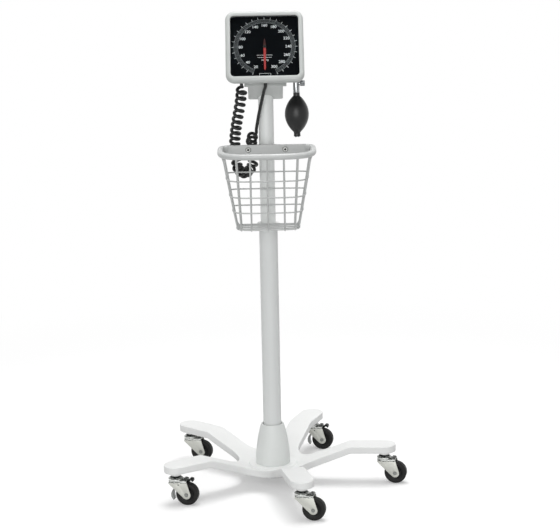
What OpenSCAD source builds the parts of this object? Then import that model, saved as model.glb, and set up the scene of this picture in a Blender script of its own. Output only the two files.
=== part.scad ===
// Mobile aneroid blood pressure gauge on a five-legged castor stand.
// Origin on the floor under the pole, +Z up, the dial faces -Y and leans back.

/* [Base] */
// Distance from the pole axis to each castor stem
leg_reach = 252; // [244:1:260]
// Width of a leg
leg_w = 52; // [46:1:56]
// Thickness of a leg
leg_t = 16; // [14:1:18]
// Radius at which the level tip starts
leg_kink_r = 176; // [168:1:184]
// Height that a leg loses from tip to hub
leg_drop = 47; // [40:1:50]
// Concave radius between two legs
crotch_r = 48; // [40:1:52]
// Angle of the first leg from +X
leg_turn = -4.2; // [-12:0.1:12]
// Diameter of the raised disc at the hub
hub_disc_d = 108; // [100:1:116]
// Height of the raised disc
hub_disc_h = 4; // [3:0.5:6]
// Height of the castor boss below a leg tip
boss_h = 8; // [6:1:10]
// Diameter of the castor boss
boss_d = 24; // [22:1:28]

/* [Hub cover] */
// Diameter at the foot of the cover
cover_foot_d = 77; // [74:1:82]
// Diameter at the top of the cover
cover_top_d = 51; // [50:1:54]
// Height of the cover
cover_h = 92; // [80:1:100]
// Wall of the cover
cover_wall = 3; // [2:0.5:3]

/* [Castors] */
// Wheel diameter
wheel_d = 50; // [48:1:52]
// Wheel width
wheel_w = 19; // [17:1:20]
// Distance from stem axis to axle
trail = 26; // [26:1:28]
// Direction in which every castor trails, from +X
heading = -13; // [-30:1:30]
// Axle diameter
axle_d = 6; // [5:0.5:7]
// Stem diameter
stem_d = 10; // [8:1:12]
// Thickness of the fork plates
fork_t = 2; // [1.5:0.5:2.5]
// Diameter of the swivel race
race_d = 33; // [31:1:35]

/* [Pole] */
// Outer diameter of the lower tube
lower_d = 40.6; // [38:0.2:42]
// Outer diameter of the upper tube
upper_d = 33; // [31:0.5:34]
// Wall of both tubes
tube_wall = 2; // [1.5:0.5:2.5]
// Diameter of the collar between the tubes
collar_d = 50; // [48:1:51]
// Height of the collar's top above the floor
collar_z = 600; // [590:1:603]
// Height of the collar's outer ring
collar_h = 15; // [13:1:20]
// Height of the upper tube's top above the floor
pole_top_z = 936; // [926:1:946]

/* [Basket] */
// Outer width of the rim
rim_w = 212; // [204:1:220]
// Depth of the rim from the back plate's front face
rim_depth = 139; // [130:1:146]
// Thickness of the round rim bar
rim_d = 13; // [11:1:14]
// Height of the rim's top above the floor
rim_z = 777; // [771:1:781]
// Height of the back plate
plate_h = 26; // [24:1:30]
// Thickness of the back plate
plate_t = 5; // [4:1:6]
// Distance of the back plate's rear face from the pole axis
plate_y = 26; // [25:1:28]
// Spacing of the two screws
plate_screws = 80; // [70:1:84]
// Wire thickness
wire_d = 3.2; // [2.8:0.2:3.6]
// Height from rim top to basket floor
basket_h = 178; // [172:1:182]
// Width at the basket floor
floor_w = 136; // [128:1:144]
// Depth at the basket floor
floor_depth = 68; // [62:1:74]

/* [Gauge head] */
// Width of the bezel
head_w = 167; // [163:1:171]
// Height of the bezel
head_h = 167; // [163:1:171]
// Corner radius of the bezel
head_r = 19; // [16:1:22]
// Width of the bezel's frame at the sides
frame_side = 10.5; // [9.5:0.5:12.5]
// Width of the bezel's frame at the top and bottom
frame_end = 12; // [10.5:0.5:13]
// Corner radius of the window
window_r = 8; // [6:1:10]
// Depth of the bezel
bezel_t = 13; // [12:1:14]
// Depth of the case behind the bezel
case_t = 28; // [27:1:32]
// Lean of the dial from upright
head_tilt = 32; // [29:1:35]
// Distance of the dial's centre in front of the pole axis
head_y = 49; // [47:1:52]
// Height of the dial's centre above the pole's top
head_rise = 57.5; // [55:0.5:60]
// Width of the bracket block
block_w = 75; // [70:1:76]
// Length of the pointer from its axis
pointer_l = 56; // [50:1:58]

/* [Movement] */
// Tooth module
gear_m = 0.5; // [0.4:0.1:0.5]
// Teeth of the pinion
pinion_z = 16; // [16:1:18]
// Turns of the pinion for one turn of the sector
gear_ratio = 6; // [6:1:6]
// Sweep of the pointer
pointer_sweep = 337.5; // [315:1:337.5]
// Play between two teeth, along the pitch circle
backlash = 0.1; // [0.08:0.01:0.14]

/* [Bulb] */
// Largest diameter of the bulb
bulb_d = 50.8; // [48:0.2:53]
// Length of the bulb
bulb_l = 94; // [88:1:98]
// Diameter of the valve body
valve_d = 14; // [13:0.5:15]
// Length of the valve body below the case
valve_l = 27; // [25:1:30]
// Diameter of the valve's thumbscrew
knob_d = 12; // [10:0.5:13]

/* [Hose] */
// Outer diameter of the hose
hose_d = 7; // [6.4:0.1:7]
// Radius of the coil, to the middle of the hose
coil_r = 9.2; // [8.4:0.1:9.2]
// Rise of the coil for one turn, in its bend
coil_pitch = 12; // [12:0.1:13]

/* [Hidden] */
$fn = 48;
fit = 0.05;
soft_gap = 0.3;
floor_z = 0;

// Castor stack, from the floor up
axle_z = wheel_d / 2;
crown_z = wheel_d + 0.5;
crown_t = 6;
race_z = crown_z + crown_t;
brake_r = wheel_d / 2 + 3.5;
castor_h = wheel_d + 16;
dome_z = castor_h - 9;
kingpin_r = 4;
plate_in = wheel_w / 2 + 2;
crown_r = race_d / 2 - 0.5;

// Base stack
leg_under_z = castor_h + boss_h;
leg_top_z = leg_under_z + leg_t;
hub_top_z = leg_top_z - leg_drop;
hub_under_z = hub_top_z - leg_t;
disc_z = hub_top_z + hub_disc_h;
slope_r = 56;
socket_floor = 8;
socket_z = hub_under_z - 10 + socket_floor;
hub_boss_z = hub_under_z - 10;
hub_boss_r = lower_d / 2 + 13;
bolt_r = 5;
plug_h = 32;

// Pole
lower_top_z = collar_z - 10;
upper_foot_z = collar_z - 80;

// Basket: half width and front distance of each wire ring, by height
rim_r = rim_d / 2;
rim_mid_z = rim_z - rim_r;
plate_front = -(plate_y + plate_t);
back_y = -(plate_y + plate_t / 2);
rim_front_y = plate_front - rim_depth + rim_r;
rim_half = rim_w / 2 - rim_r;
floor_z_wire = rim_z - basket_h;
floor_half = floor_w / 2;
floor_front_y = back_y - floor_depth;
row_share = [0.334, 0.541, 0.743, 1];
side_shares = [0.17, 0.45, 0.73];
wire_r = wire_d / 2;

// Head frame: x across the dial, y up its face, z out of it
head_z = pole_top_z + head_rise;
window_w = head_w - 2 * frame_side;
window_h = head_h - 2 * frame_end;
lens_t = 2;
lip_t = 3.2;
gasket_t = 3.8;
dial_t = 1;
dial_z = -(lip_t + lens_t + gasket_t);
seat_w = window_w + 4;
seat_h = window_h + 4;
seat_r = window_r + 2;
flange_t = 3;
case_back = -(bezel_t + case_t);
case_w = head_w - 17;
case_top = head_h / 2 - 13.5;
case_bottom = -(head_h / 2 - 19.5);
case_wall = 2.5;
bracket_t = 4;
bracket_w = block_w + 15;
bracket_bottom = case_bottom - 12;
bracket_top = case_top - 30;
bracket_rows = [bracket_bottom + 20, bracket_top - 10];
pole_grip = 120;
screw_x = head_w / 2 - 28.5;
screw_y = head_h / 2 - 6.7;

// Ports stand upright under the tilted case
port_depth = 15;
port_y = head_place_y(case_bottom, -(bezel_t + port_depth));
port_wall_z = head_place_z(case_bottom, -(bezel_t + port_depth));
port_z = port_wall_z - 10.4;
port_r = 4;
coil_port_x = -(case_w / 2 - 24);
bulb_x = case_w / 2 - 9;

// Movement
arbor_r = 1;
pitch_p = gear_m * pinion_z / 2;
pitch_s = pitch_p * gear_ratio;
sector_z = pinion_z * gear_ratio;
gear_centres = pitch_p + pitch_s;
sector_swing = pointer_sweep / gear_ratio;
gear_n = -(bezel_t + 4.5);
gear_t = 2;
front_plate_n = -(bezel_t + 0.5);
rear_plate_n = -(bezel_t + 11.5);
frame_t = 1.5;
tail_l = 6;
tail_n = -(bezel_t + 8);
movement_foot = case_bottom + 18;
movement_head = 12;
bellows_x = -(case_w / 2 - 29);
rest_turn = sector_swing / 2;

// Bulb and valve
valve_y = port_y;
valve_top_z = port_wall_z - 5.2;
bulb_top_z = port_wall_z - 5.2 - valve_l;
bulb_foot_z = bulb_top_z - bulb_l;
knob_z = valve_top_z - 7;

// Hose: where the coil ends and the straight run starts
hose_r = hose_d / 2;
joint_p = [-21.8, -5.5, 803.5];
joint_dir = unit([0.05, -0.45, 0.89]);
coil_top = [coil_port_x, port_y, port_z];
hose_top = [0, port_y, port_z];
bend_r = 27.8;
bend_x = 18.2;
bend_y = 21;
bend_at = [-48, 10, 738];
coil_route = concat([coil_top, coil_top - [0, 0, 8], [-51.6, -53.5, 894], [-53.6, -46, 878],
    [-56.5, -40, 861],
    [-60, -34.5, 843], [-63.6, -28, 824], [-66.6, -21, 805], [-68.8, -15, 786], [-69.2, -11.6, 767],
    [-68, -11, 750]],
    [for (a = [180:20:360]) bend_at + [bend_x * cos(a), bend_y * cos(a), bend_r * sin(a)]],
    [[-29.8, 28.2, 752], [-30.8, 22, 765], [-33, 14.5, 777], [-31.6, 5.6, 788]],
    [joint_p - hose_d * joint_dir, joint_p]);
// How far the pitch is drawn out along the route: [route point, share]
coil_stretch = [[0, 1.18], [4, 1.18], [6, 1.1], [8, 1.03], [10, 0.94], [11, 0.93], [12, 0.99], [22, 1.02],
    [24, 1.12]];
hose_route = [joint_p, joint_p + 7 * joint_dir, [-18.6, -16.5, 826], [-15.8, -22.5, 841],
    [-12.9, -28.5, 854.5],
    [-9.8, -35, 868.5], [-6.5, -42, 882], [-3.4, -48.5, 895.5], hose_top - [0, 0, 8], hose_top];

// Vectors
function unit(v) = v / norm(v);
function flat(lists) = [for (l = lists) each l];
function sum(list, i = 0) = i >= len(list) ? 0 : list[i] + sum(list, i + 1);

// Places of the head frame in the world, for x = 0
function head_place_y(v, n) = -head_y + v * sin(head_tilt) - n * cos(head_tilt);
function head_place_z(v, n) = head_z + v * cos(head_tilt) + n * sin(head_tilt);
// A world place, (y, z), in the head frame, (up the face, out of it)
function in_head(y, z) = [(y + head_y) * sin(head_tilt) + (z - head_z) * cos(head_tilt),
    -(y + head_y) * cos(head_tilt) + (z - head_z) * sin(head_tilt)];

module head_place() {
    translate([0, -head_y, head_z]) rotate([90 - head_tilt, 0, 0]) children();
}

// Corner of a polyline turned into an arc of radius r
function corner(a, b, c, r, n = 5) =
    let (u = unit(a - b), v = unit(c - b), half = acos(u * v) / 2, d = r / tan(half),
        m = b + unit(u + v) * r / sin(half), s = b + u * d - m, e = b + v * d - m, sweep = 180 - 2 * half)
    [for (i = [0:n]) let (f = i / n) m + (s * sin((1 - f) * sweep) + e * sin(f * sweep)) / sin(sweep)];

// Plate with round corners, standing on z = 0
module rounded_plate(w, h, r, t) {
    translate([-w / 2 + r, -h / 2, 0]) cube([w - 2 * r, h, t]);
    translate([-w / 2, -h / 2 + r, 0]) cube([w, h - 2 * r, t]);
    for (x = [-1, 1], y = [-1, 1])
        translate([x * (w / 2 - r), y * (h / 2 - r), 0]) cylinder(r = r, h = t);
}

module rod(a, b, r) {
    d = b - a;
    translate(a) rotate([0, acos(d[2] / norm(d)), atan2(d[1], d[0])]) cylinder(r = r, h = norm(d));
}

// Smooth curve through route points, by Catmull-Rom
function route_at(p, t) =
    let (n = len(p), i = min(floor(t), n - 2), f = t - i, a = p[max(i - 1, 0)], b = p[i], c = p[i + 1],
        d = p[min(i + 2, n - 1)])
    0.5 * (2 * b + (c - a) * f + (2 * a - 5 * b + 4 * c - d) * f * f + (3 * b - a - 3 * c + d) * f * f * f);
function route_dir(p, t) = unit(route_at(p, min(t + 0.02, len(p) - 1)) - route_at(p, max(t - 0.02, 0)));

// One ring of a tube, square to dir, with one corner toward side
function ring(c, dir, side, r, n) =
    let (a = unit(side - (side * dir) * dir), b = cross(a, dir))
    [for (k = [0:n - 1]) c + r * (cos(360 * k / n) * a + sin(360 * k / n) * b)];

// Closed tube skin over rings of n points each
module skin(rings, n, closed = false) {
    m = len(rings);
    last = closed ? m - 1 : m - 2;
    sides = [for (i = [0:last], k = [0:n - 1])
        let (j = (i + 1) % m, l = (k + 1) % n)
        each [[i * n + k, i * n + l, j * n + l], [i * n + k, j * n + l, j * n + k]]];
    ends = closed ? [] : [[for (k = [n - 1:-1:0]) k], [for (k = [0:n - 1]) (m - 1) * n + k]];
    polyhedron(points = flat(rings), faces = concat(sides, ends), convexity = 10);
}

module tube_along(points, side, r, n, closed = false) {
    m = len(points);
    rings = [for (i = [0:m - 1])
        let (a = closed ? points[(i + m - 1) % m] : points[max(i - 1, 0)],
            b = closed ? points[(i + 1) % m] : points[min(i + 1, m - 1)])
        ring(points[i], unit(b - a), side, r, n)];
    skin(rings, n, closed);
}

// Base: a star outline cut from one turned body
leg_profile = concat([[0, hub_under_z]], corner([0, hub_under_z], [slope_r + 3, hub_under_z], [leg_kink_r + 3,
    leg_under_z], 60), corner([slope_r + 3, hub_under_z], [leg_kink_r + 3, leg_under_z],
    [320, leg_under_z], 24),
    [[leg_reach + leg_w, leg_under_z], [leg_reach + leg_w, leg_top_z]],
    corner([320, leg_top_z], [leg_kink_r, leg_top_z],
    [slope_r, hub_top_z], 30), corner([leg_kink_r, leg_top_z], [slope_r, hub_top_z], [0, hub_top_z], 50),
    [[0, hub_top_z]]);

module star(z, h) {
    fillet_at = (leg_w / 2 + crotch_r) / sin(36);
    web_r = fillet_at * cos(36);
    translate([0, 0, z]) {
        for (i = [0:4]) rotate([0, 0, leg_turn + 72 * i]) {
            translate([0, -leg_w / 2, 0]) cube([leg_reach, leg_w, h]);
            translate([leg_reach, 0, 0]) cylinder(r = leg_w / 2, h = h);
        }
        difference() {
            linear_extrude(h) polygon([for (i = [0:4], s = [-1, 1])
                let (a = leg_turn + 72 * i, f = s * leg_w / 2)
                [web_r * cos(a) - f * sin(a), web_r * sin(a) + f * cos(a)]]);
            for (i = [0:4]) rotate([0, 0, leg_turn + 72 * i + 36])
                translate([fillet_at, 0, -1]) cylinder(r = crotch_r, h = h + 2);
        }
    }
}

module base_casting() {
    color("#E8EAE9") difference() {
        union() {
            intersection() {
                star(hub_under_z - 1, leg_top_z - hub_under_z + 2);
                rotate_extrude() polygon(leg_profile);
            }
            translate([0, 0, hub_top_z - 1]) cylinder(r = hub_disc_d / 2, h = hub_disc_h + 1);
            translate([0, 0, hub_boss_z]) cylinder(r = hub_boss_r, h = hub_top_z - hub_boss_z);
            for (i = [0:4]) rotate([0, 0, leg_turn + 72 * i])
                translate([leg_reach, 0, castor_h]) cylinder(r = boss_d / 2, h = boss_h + 1);
        }
        translate([0, 0, socket_z]) cylinder(r = lower_d / 2 + fit, h = 100);
        translate([0, 0, hub_boss_z - 1]) cylinder(r = bolt_r + fit, h = 40);
        for (i = [0:4]) rotate([0, 0, leg_turn + 72 * i])
            translate([leg_reach, 0, castor_h - 1]) cylinder(r = stem_d / 2 + fit, h = boss_h + leg_t - 4);
    }
}

module pole_plug() {
    color("#8A8C8B") difference() {
        translate([0, 0, socket_z]) cylinder(r = lower_d / 2 - tube_wall - fit, h = plug_h);
        translate([0, 0, socket_z - 1]) cylinder(r = bolt_r, h = plug_h - 4);
    }
}

module pole_bolt() {
    color("#B9BBB8") {
        translate([0, 0, hub_boss_z]) cylinder(r = bolt_r, h = plug_h);
        translate([0, 0, hub_boss_z - 1.5]) cylinder(r = 2.4 * bolt_r, h = 1.5);
        translate([0, 0, hub_boss_z - 7]) cylinder(r = 1.8 * bolt_r, h = 5.5, $fn = 6);
    }
}

function cover_r(f) = cover_top_d / 2 + (cover_foot_d - cover_top_d) / 2 * (1 - pow(f, 2.15));

module hub_cover() {
    steps = 12;
    outer = [for (i = [0:steps]) let (f = i / steps) [cover_r(f), disc_z + cover_h * f]];
    inner = [for (i = [steps:-1:0]) let (f = i / steps)
        [max(cover_r(f) - cover_wall, lower_d / 2 + 1.6), disc_z + cover_h * f]];
    color("#D6D9D7") rotate_extrude() polygon(concat(outer, inner));
}

module pole_lower() {
    color("#D3D6D4") difference() {
        translate([0, 0, socket_z]) cylinder(r = lower_d / 2, h = lower_top_z - socket_z);
        translate([0, 0, socket_z - 1]) cylinder(r = lower_d / 2 - tube_wall, h = lower_top_z - socket_z + 2);
    }
}

module pole_upper() {
    color("#D3D6D4") difference() {
        translate([0, 0, upper_foot_z]) cylinder(r = upper_d / 2, h = pole_top_z - upper_foot_z);
        translate([0, 0, upper_foot_z - 1])
            cylinder(r = upper_d / 2 - tube_wall, h = pole_top_z - upper_foot_z + 2);
    }
}

module pole_collar() {
    sleeve_z = upper_foot_z + 4;
    color("#C9CCCA") difference() {
        union() {
            translate([0, 0, collar_z - collar_h]) cylinder(r = collar_d / 2, h = collar_h - 2);
            translate([0, 0, collar_z - 2]) cylinder(r1 = collar_d / 2, r2 = collar_d / 2 - 2, h = 2);
        }
        translate([0, 0, collar_z - collar_h - 1])
            cylinder(r = lower_d / 2 + fit, h = collar_h + 1 - (collar_z - lower_top_z));
        translate([0, 0, collar_z - collar_h - 1]) cylinder(r = upper_d / 2 + fit, h = collar_h + 2);
    }
    color("#C9CCCA") difference() {
        translate([0, 0, sleeve_z])
            cylinder(r = lower_d / 2 - tube_wall - fit, h = lower_top_z - sleeve_z + 1);
        translate([0, 0, sleeve_z - 1]) cylinder(r = upper_d / 2 + fit, h = lower_top_z - sleeve_z + 3);
    }
}

// Basket rings: a square back and a bowed front, e being the front's squareness
function loop_at(half, front, a, e) =
    let (mid = back_y - 0.3 * (back_y - front), c = cos(a), s = sin(a), q = s > 0 ? 2 / 9 : 2 / e,
        reach = s > 0 ? back_y - mid : mid - front)
    [half * sign(c) * pow(abs(c), q), mid + reach * sign(s) * pow(abs(s), q)];
// Half width and front of the wires, by share of the way down
function basket_half(f) = floor_half + (rim_half - 2 - floor_half) * (1 - f);
function basket_front(f) = rim_front_y + (floor_front_y - rim_front_y) * pow(f, 2.2);
function level(f) = rim_z - basket_h * f;
// How far uprights stand inside the rings, and how high the lowest ring lies over the floor wires
inset = wire_d - 0.8;
bowl = 4.6;
lift = wire_d - 0.4;

// Front of a loop at width x
function front_at(x, half, front, e) =
    let (mid = back_y - 0.3 * (back_y - front)) mid - (mid - front) * pow(1 - pow(abs(x) / half, e), 1 / e);
function loop_y(x, f) = front_at(x, basket_half(f), basket_front(f), bowl);

module wire_row(f) {
    n = 40;
    z = f == 1 ? level(1) + lift : level(f);
    pts = [for (i = [0:n - 1]) let (p = loop_at(basket_half(f), basket_front(f), 360 * i / n,
        bowl)) [p[0], p[1], z]];
    tube_along(pts, [0, 0, 1], wire_r, 6, true);
}

// Front to back wire: down the back, over the floor and up the front
module wire_u(top_x, floor_x) {
    x = function (f) top_x + (floor_x - top_x) * f;
    up = [for (f = [0.9, row_share[2], row_share[1], row_share[0], 0.12]) [x(f), loop_y(x(f), f) + inset,
        level(f)]];
    top = [top_x, front_at(top_x, rim_half, rim_front_y, 3.5) + 3, rim_mid_z];
    back = [for (p = [[0, lift + 4], [0, lift - 0.6], [1, 0.8], [3.2, 0]])
        [floor_x, back_y - inset - p[0], level(1) + p[1]]];
    front_y = loop_y(floor_x, 1) + inset;
    turn = [for (p = [[3.2, 0], [1, 0.8], [0, lift - 0.6], [0, lift + 4]])
        [floor_x, front_y + p[0], level(1) + p[1]]];
    tube_along(concat([[top_x, back_y - inset, rim_z - plate_h + 3]], back, turn, up, [top]), [1, 0, 0],
    wire_r, 6);
}

// Side to side wire: down one side, over the floor wires and up the other
module wire_side(share) {
    y = function (f) back_y + share * (basket_front(f) - back_y);
    down = [for (f = [0.12, row_share[0], row_share[1], row_share[2], 0.93])
        [-basket_half(f) + inset, y(f), level(f)]];
    turn = [for (p = [[0, 7.5], [1.2, 4.6], [4, 2.8]]) [-floor_half + inset + p[0], y(1), level(1) + p[1]]];
    left = concat([[3 - rim_half, y(0.04), rim_mid_z]], down, turn);
    right = [for (i = [len(left) - 1:-1:0]) [-left[i][0], left[i][1], left[i][2]]];
    tube_along(concat(left, right), [0, 1, 0], wire_r, 6);
}

module wire_basket() {
    color("#AEB1AF") {
        for (f = row_share) wire_row(f);
        wire_u(0, 0);
        for (s = [-1, 1]) {
            wire_u(s * 0.362 * rim_half, s * 0.362 * rim_half);
            wire_u(s * 0.663 * rim_half, s * 0.583 * rim_half);
        }
        for (s = side_shares) wire_side(s);
    }
}

module basket_rim() {
    n = 48;
    bar = [for (i = [0:n]) let (p = loop_at(rim_half, rim_front_y, 120 + 300 * i / n, 3.5)) [p[0], p[1],
        rim_mid_z]];
    color("#B4B7B5") difference() {
        union() {
            tube_along(bar, [0, 0, 1], rim_r, 12);
            translate([-rim_half + 6, plate_front, rim_z - plate_h])
                cube([2 * rim_half - 12, plate_t, plate_h]);
        }
        for (x = [-1, 1]) translate([x * plate_screws / 2, 0, rim_z - 10.5]) rotate([90, 0, 0])
            cylinder(r = 2 + fit, h = 60);
    }
}

module basket_bracket() {
    h = plate_h - 6;
    wing = plate_screws / 2 + 6;
    color("#9FA2A0") difference() {
        union() {
            translate([-wing, -plate_y, rim_z - h]) cube([2 * wing, plate_y - upper_d / 2 - 2, h - 2]);
            translate([-upper_d / 2 - 5, -plate_y, rim_z - h]) cube([upper_d + 10, plate_y - 8, h - 2]);
        }
        translate([0, 0, rim_z - h - 1]) cylinder(r = upper_d / 2 + fit, h = h + 2);
        for (x = [-1, 1]) translate([x * plate_screws / 2, 0, rim_z - 10.5]) rotate([90, 0, 0])
            cylinder(r = 2 - fit, h = 60);
    }
}

module basket_screws() {
    color("#8E908F") for (x = [-1, 1])
        translate([x * plate_screws / 2, plate_front, rim_z - 10.5]) rotate([-90, 0, 0]) {
            cylinder(r = 2 - fit, h = plate_t + 6);
            translate([0, 0, -2.4]) difference() {
                cylinder(r1 = 4, r2 = 5, h = 2.4);
                for (a = [0, 90]) rotate([0, 0, a]) translate([-2.6, -0.5, -1]) cube([5.2, 1, 2.4]);
            }
        }
}

// Head: bracket block round the pole's top, lined up with the tilted case
function block_rear() = -((head_place_y(bracket_bottom, 0) - 2.3) / -cos(head_tilt));

module head_block() {
    rear = block_rear();
    top_rear = in_head(upper_d / 2 + 8, pole_top_z - 5);
    top_end = in_head(upper_d / 2 + 2, pole_top_z + 12);
    front = case_back - bracket_t;
    profile = [[bracket_bottom, front], [bracket_bottom, rear], [bracket_bottom + 18, rear], top_rear,
        top_end,
        [top_end[0] + 8, front]];
    r = 6;
    intersection() {
        rotate([0, -90, 0]) translate([0, 0, -block_w / 2]) linear_extrude(block_w)
            polygon([for (p = profile) [p[1], p[0]]]);
        union() {
            translate([-block_w / 2, -100, rear + r]) cube([block_w, 200, front - rear - r + 1]);
            translate([-block_w / 2 + r, -100, rear - 1]) cube([block_w - 2 * r, 200, front - rear + 2]);
            for (x = [-1, 1]) translate([x * (block_w / 2 - r), -100, rear + r]) rotate([-90, 0, 0])
                cylinder(r = r, h = 200);
        }
    }
}

module head_bracket() {
    color("#A6A9A7") difference() {
        union() {
            head_place() {
                head_block();
                translate([-bracket_w / 2, bracket_bottom, case_back - bracket_t])
                    cube([bracket_w, bracket_top - bracket_bottom, bracket_t]);
            }
        }
        translate([0, 0, pole_top_z - pole_grip]) cylinder(r = upper_d / 2 + fit, h = pole_grip + 2);
        head_place() for (x = [-1, 1], y = bracket_rows)
            translate([x * (bracket_w / 2 - 4), y, case_back - bracket_t - 1])
                cylinder(r = 1.5 + fit, h = bracket_t + 2);
    }
}

module bracket_screws() {
    color("#8E908F") head_place() for (x = [-1, 1], y = bracket_rows)
        translate([x * (bracket_w / 2 - 4), y, case_back - bracket_t - 2]) {
            cylinder(r = 3, h = 2);
            cylinder(r = 1.5, h = bracket_t + 4);
        }
}

case_mid_y = (case_top + case_bottom) / 2;

// Room inside the case
module cavity(gap) {
    translate([0, case_mid_y, case_back + case_wall]) rounded_plate(case_w - 2 * (case_wall + gap),
        case_top - case_bottom - 2 * (case_wall + gap), 12, case_t + bezel_t);
}

module rear_case() {
    color("#BFC2C0") difference() {
        head_place() difference() {
            union() {
                translate([0, 0, -bezel_t - flange_t])
                    rounded_plate(head_w - 7, head_h - 7, head_r - 3, flange_t);
                translate([0, case_mid_y, case_back])
                    rounded_plate(case_w, case_top - case_bottom, 14, case_t);
                translate([0, 0, -bezel_t])
                    rounded_plate(seat_w - 0.4, seat_h - 0.4, seat_r, bezel_t + dial_z - dial_t);
            }
            cavity(0);
            for (x = [-1, 1], y = [-1, 1])
                translate([x * screw_x, y * screw_y, -2 * bezel_t]) cylinder(r = 1.4 + fit, h = 2 * bezel_t);
            for (x = [-1, 1], y = bracket_rows)
                translate([x * (bracket_w / 2 - 4), y, case_back - 1]) cylinder(r = 1.5 - fit, h = 6);
        }
        for (x = [coil_port_x, 0, bulb_x]) translate([x, port_y, port_z - 4])
            cylinder(r = port_r + fit, h = 26);
    }
}

module case_screws() {
    color("#8E908F") head_place() for (x = [-1, 1], y = [-1, 1])
        translate([x * screw_x, y * screw_y, -bezel_t - flange_t - 2]) {
            cylinder(r = 2.8, h = 2);
            cylinder(r = 1.4, h = flange_t + 7);
        }
}

module bezel() {
    edge = 2.5;
    color("#C6C9C7") head_place() difference() {
        union() {
            translate([0, 0, -bezel_t]) rounded_plate(head_w, head_h, head_r, bezel_t - edge);
            translate([0, 0, -edge - 0.1])
                rounded_plate(head_w - 1.6, head_h - 1.6, head_r - 0.8, edge - 0.8);
            translate([0, 0, -1.6]) rounded_plate(head_w - 4, head_h - 4, head_r - 2, 1.6);
        }
        translate([0, 0, -bezel_t - 1]) rounded_plate(window_w, window_h, window_r, bezel_t + 2);
        translate([0, 0, -bezel_t - 1]) rounded_plate(seat_w, seat_h, seat_r, bezel_t + 1 - lip_t);
        for (x = [-1, 1], y = [-1, 1])
            translate([x * screw_x, y * screw_y, -bezel_t - 1]) cylinder(r = 1.4 - fit, h = 6.2);
    }
}

module lens() {
    color("#DDE6EA", 0.3) head_place() translate([0, 0, -lip_t - lens_t])
        rounded_plate(seat_w - 0.2, seat_h - 0.2, seat_r, lens_t);
}

module lens_gasket() {
    color("#1C1D1D") head_place() difference() {
        translate([0, 0, dial_z]) rounded_plate(seat_w - 0.2, seat_h - 0.2, seat_r, gasket_t);
        translate([0, 0, dial_z - 1]) rounded_plate(seat_w - 5, seat_h - 5, window_r, gasket_t + 2);
    }
}

module dial_plate() {
    color("#121314") head_place() difference() {
        translate([0, 0, dial_z - dial_t]) rounded_plate(seat_w - 0.4, seat_h - 0.4, seat_r, dial_t);
        translate([0, 0, dial_z - dial_t - 1]) cylinder(r = 3, h = dial_t + 2);
    }
}

module pointer() {
    color("#B3261E") head_place() translate([0, 0, dial_z + 1.4]) difference() {
        union() {
            linear_extrude(0.7) polygon([[-2.4, 0], [-2.9, -pointer_l * 0.5], [-2.5, -pointer_l + 3],
                [0, -pointer_l],
                [2.5, -pointer_l + 3], [2.9, -pointer_l * 0.5], [2.4, 0], [4.5, 16], [0, 19], [-4.5, 16]]);
            cylinder(r = 3.2, h = 1.2);
        }
        translate([0, 0, -1]) cylinder(r = arbor_r, h = 4);
    }
}

// Involute teeth: the polar half angle of a tooth at radius r
function inv(a) = tan(a) * 180 / PI - a;
function half_tooth(r, rp, z) =
    let (rb = rp * cos(20), a = r > rb ? acos(rb / r) : 0)
    90 / z - backlash / 2 / rp * 180 / PI / 2 + inv(20) - inv(a);
function tooth(a, rp, z) =
    let (tip = rp + 0.85 * gear_m, root = rp - 1.2 * gear_m, n = 4,
        radii = [for (i = [0:n]) root + (tip - root) * i / n])
    concat([for (r = radii) r * [cos(a - half_tooth(r, rp, z)), sin(a - half_tooth(r, rp, z))]],
        [for (i = [n:-1:0]) let (r = radii[i]) r * [cos(a + half_tooth(r, rp, z)),
        sin(a + half_tooth(r, rp, z))]]);

module pinion() {
    color("#B08D57") head_place() {
        translate([0, 0, gear_n]) linear_extrude(gear_t)
            polygon(flat([for (i = [0:pinion_z - 1]) tooth(-90 + 360 * i / pinion_z, pitch_p, pinion_z)]));
        translate([0, 0, rear_plate_n - frame_t])
            cylinder(r = arbor_r, h = dial_z + 2.4 - rear_plate_n + frame_t);
        translate([0, 0, tail_n - 0.5]) cylinder(r = 2, h = 2.5);
    }
}

module sector_gear() {
    pitch = 360 / sector_z;
    first = -ceil((sector_swing + 4.5) / pitch);
    rim_in = pitch_s - 1.2 * gear_m - 3;
    angles = [for (k = [first:1]) 90 + pitch * (k + 0.5)];
    a0 = angles[0];
    a1 = angles[len(angles) - 1];
    color("#C9A227") head_place() translate([0, -gear_centres, 0]) {
        translate([0, 0, gear_n]) linear_extrude(gear_t)
            polygon(concat(flat([for (a = angles) tooth(a, pitch_s, sector_z)]),
                [for (i = [0:16]) rim_in * [cos(a1 + (a0 - a1) * i / 16), sin(a1 + (a0 - a1) * i / 16)]]));
        for (a = [a0 + 6, a1 - 6]) translate([0, 0, gear_n]) rotate([0, 0, a])
            translate([0, -1.5, 0]) cube([rim_in + 1, 3, gear_t]);
        translate([0, 0, gear_n]) cylinder(r = 3, h = gear_t);
        translate([0, 0, rear_plate_n - frame_t])
            cylinder(r = arbor_r + 0.3, h = front_plate_n - rear_plate_n + 2 * frame_t);
        rotate([0, 0, -90 - rest_turn]) translate([0, 0, tail_n]) {
            translate([0, -1, 0]) cube([tail_l, 2, 2]);
            translate([tail_l, 0, 0]) cylinder(r = 1, h = 2);
            cylinder(r = 2.4, h = 2);
        }
    }
}

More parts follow.
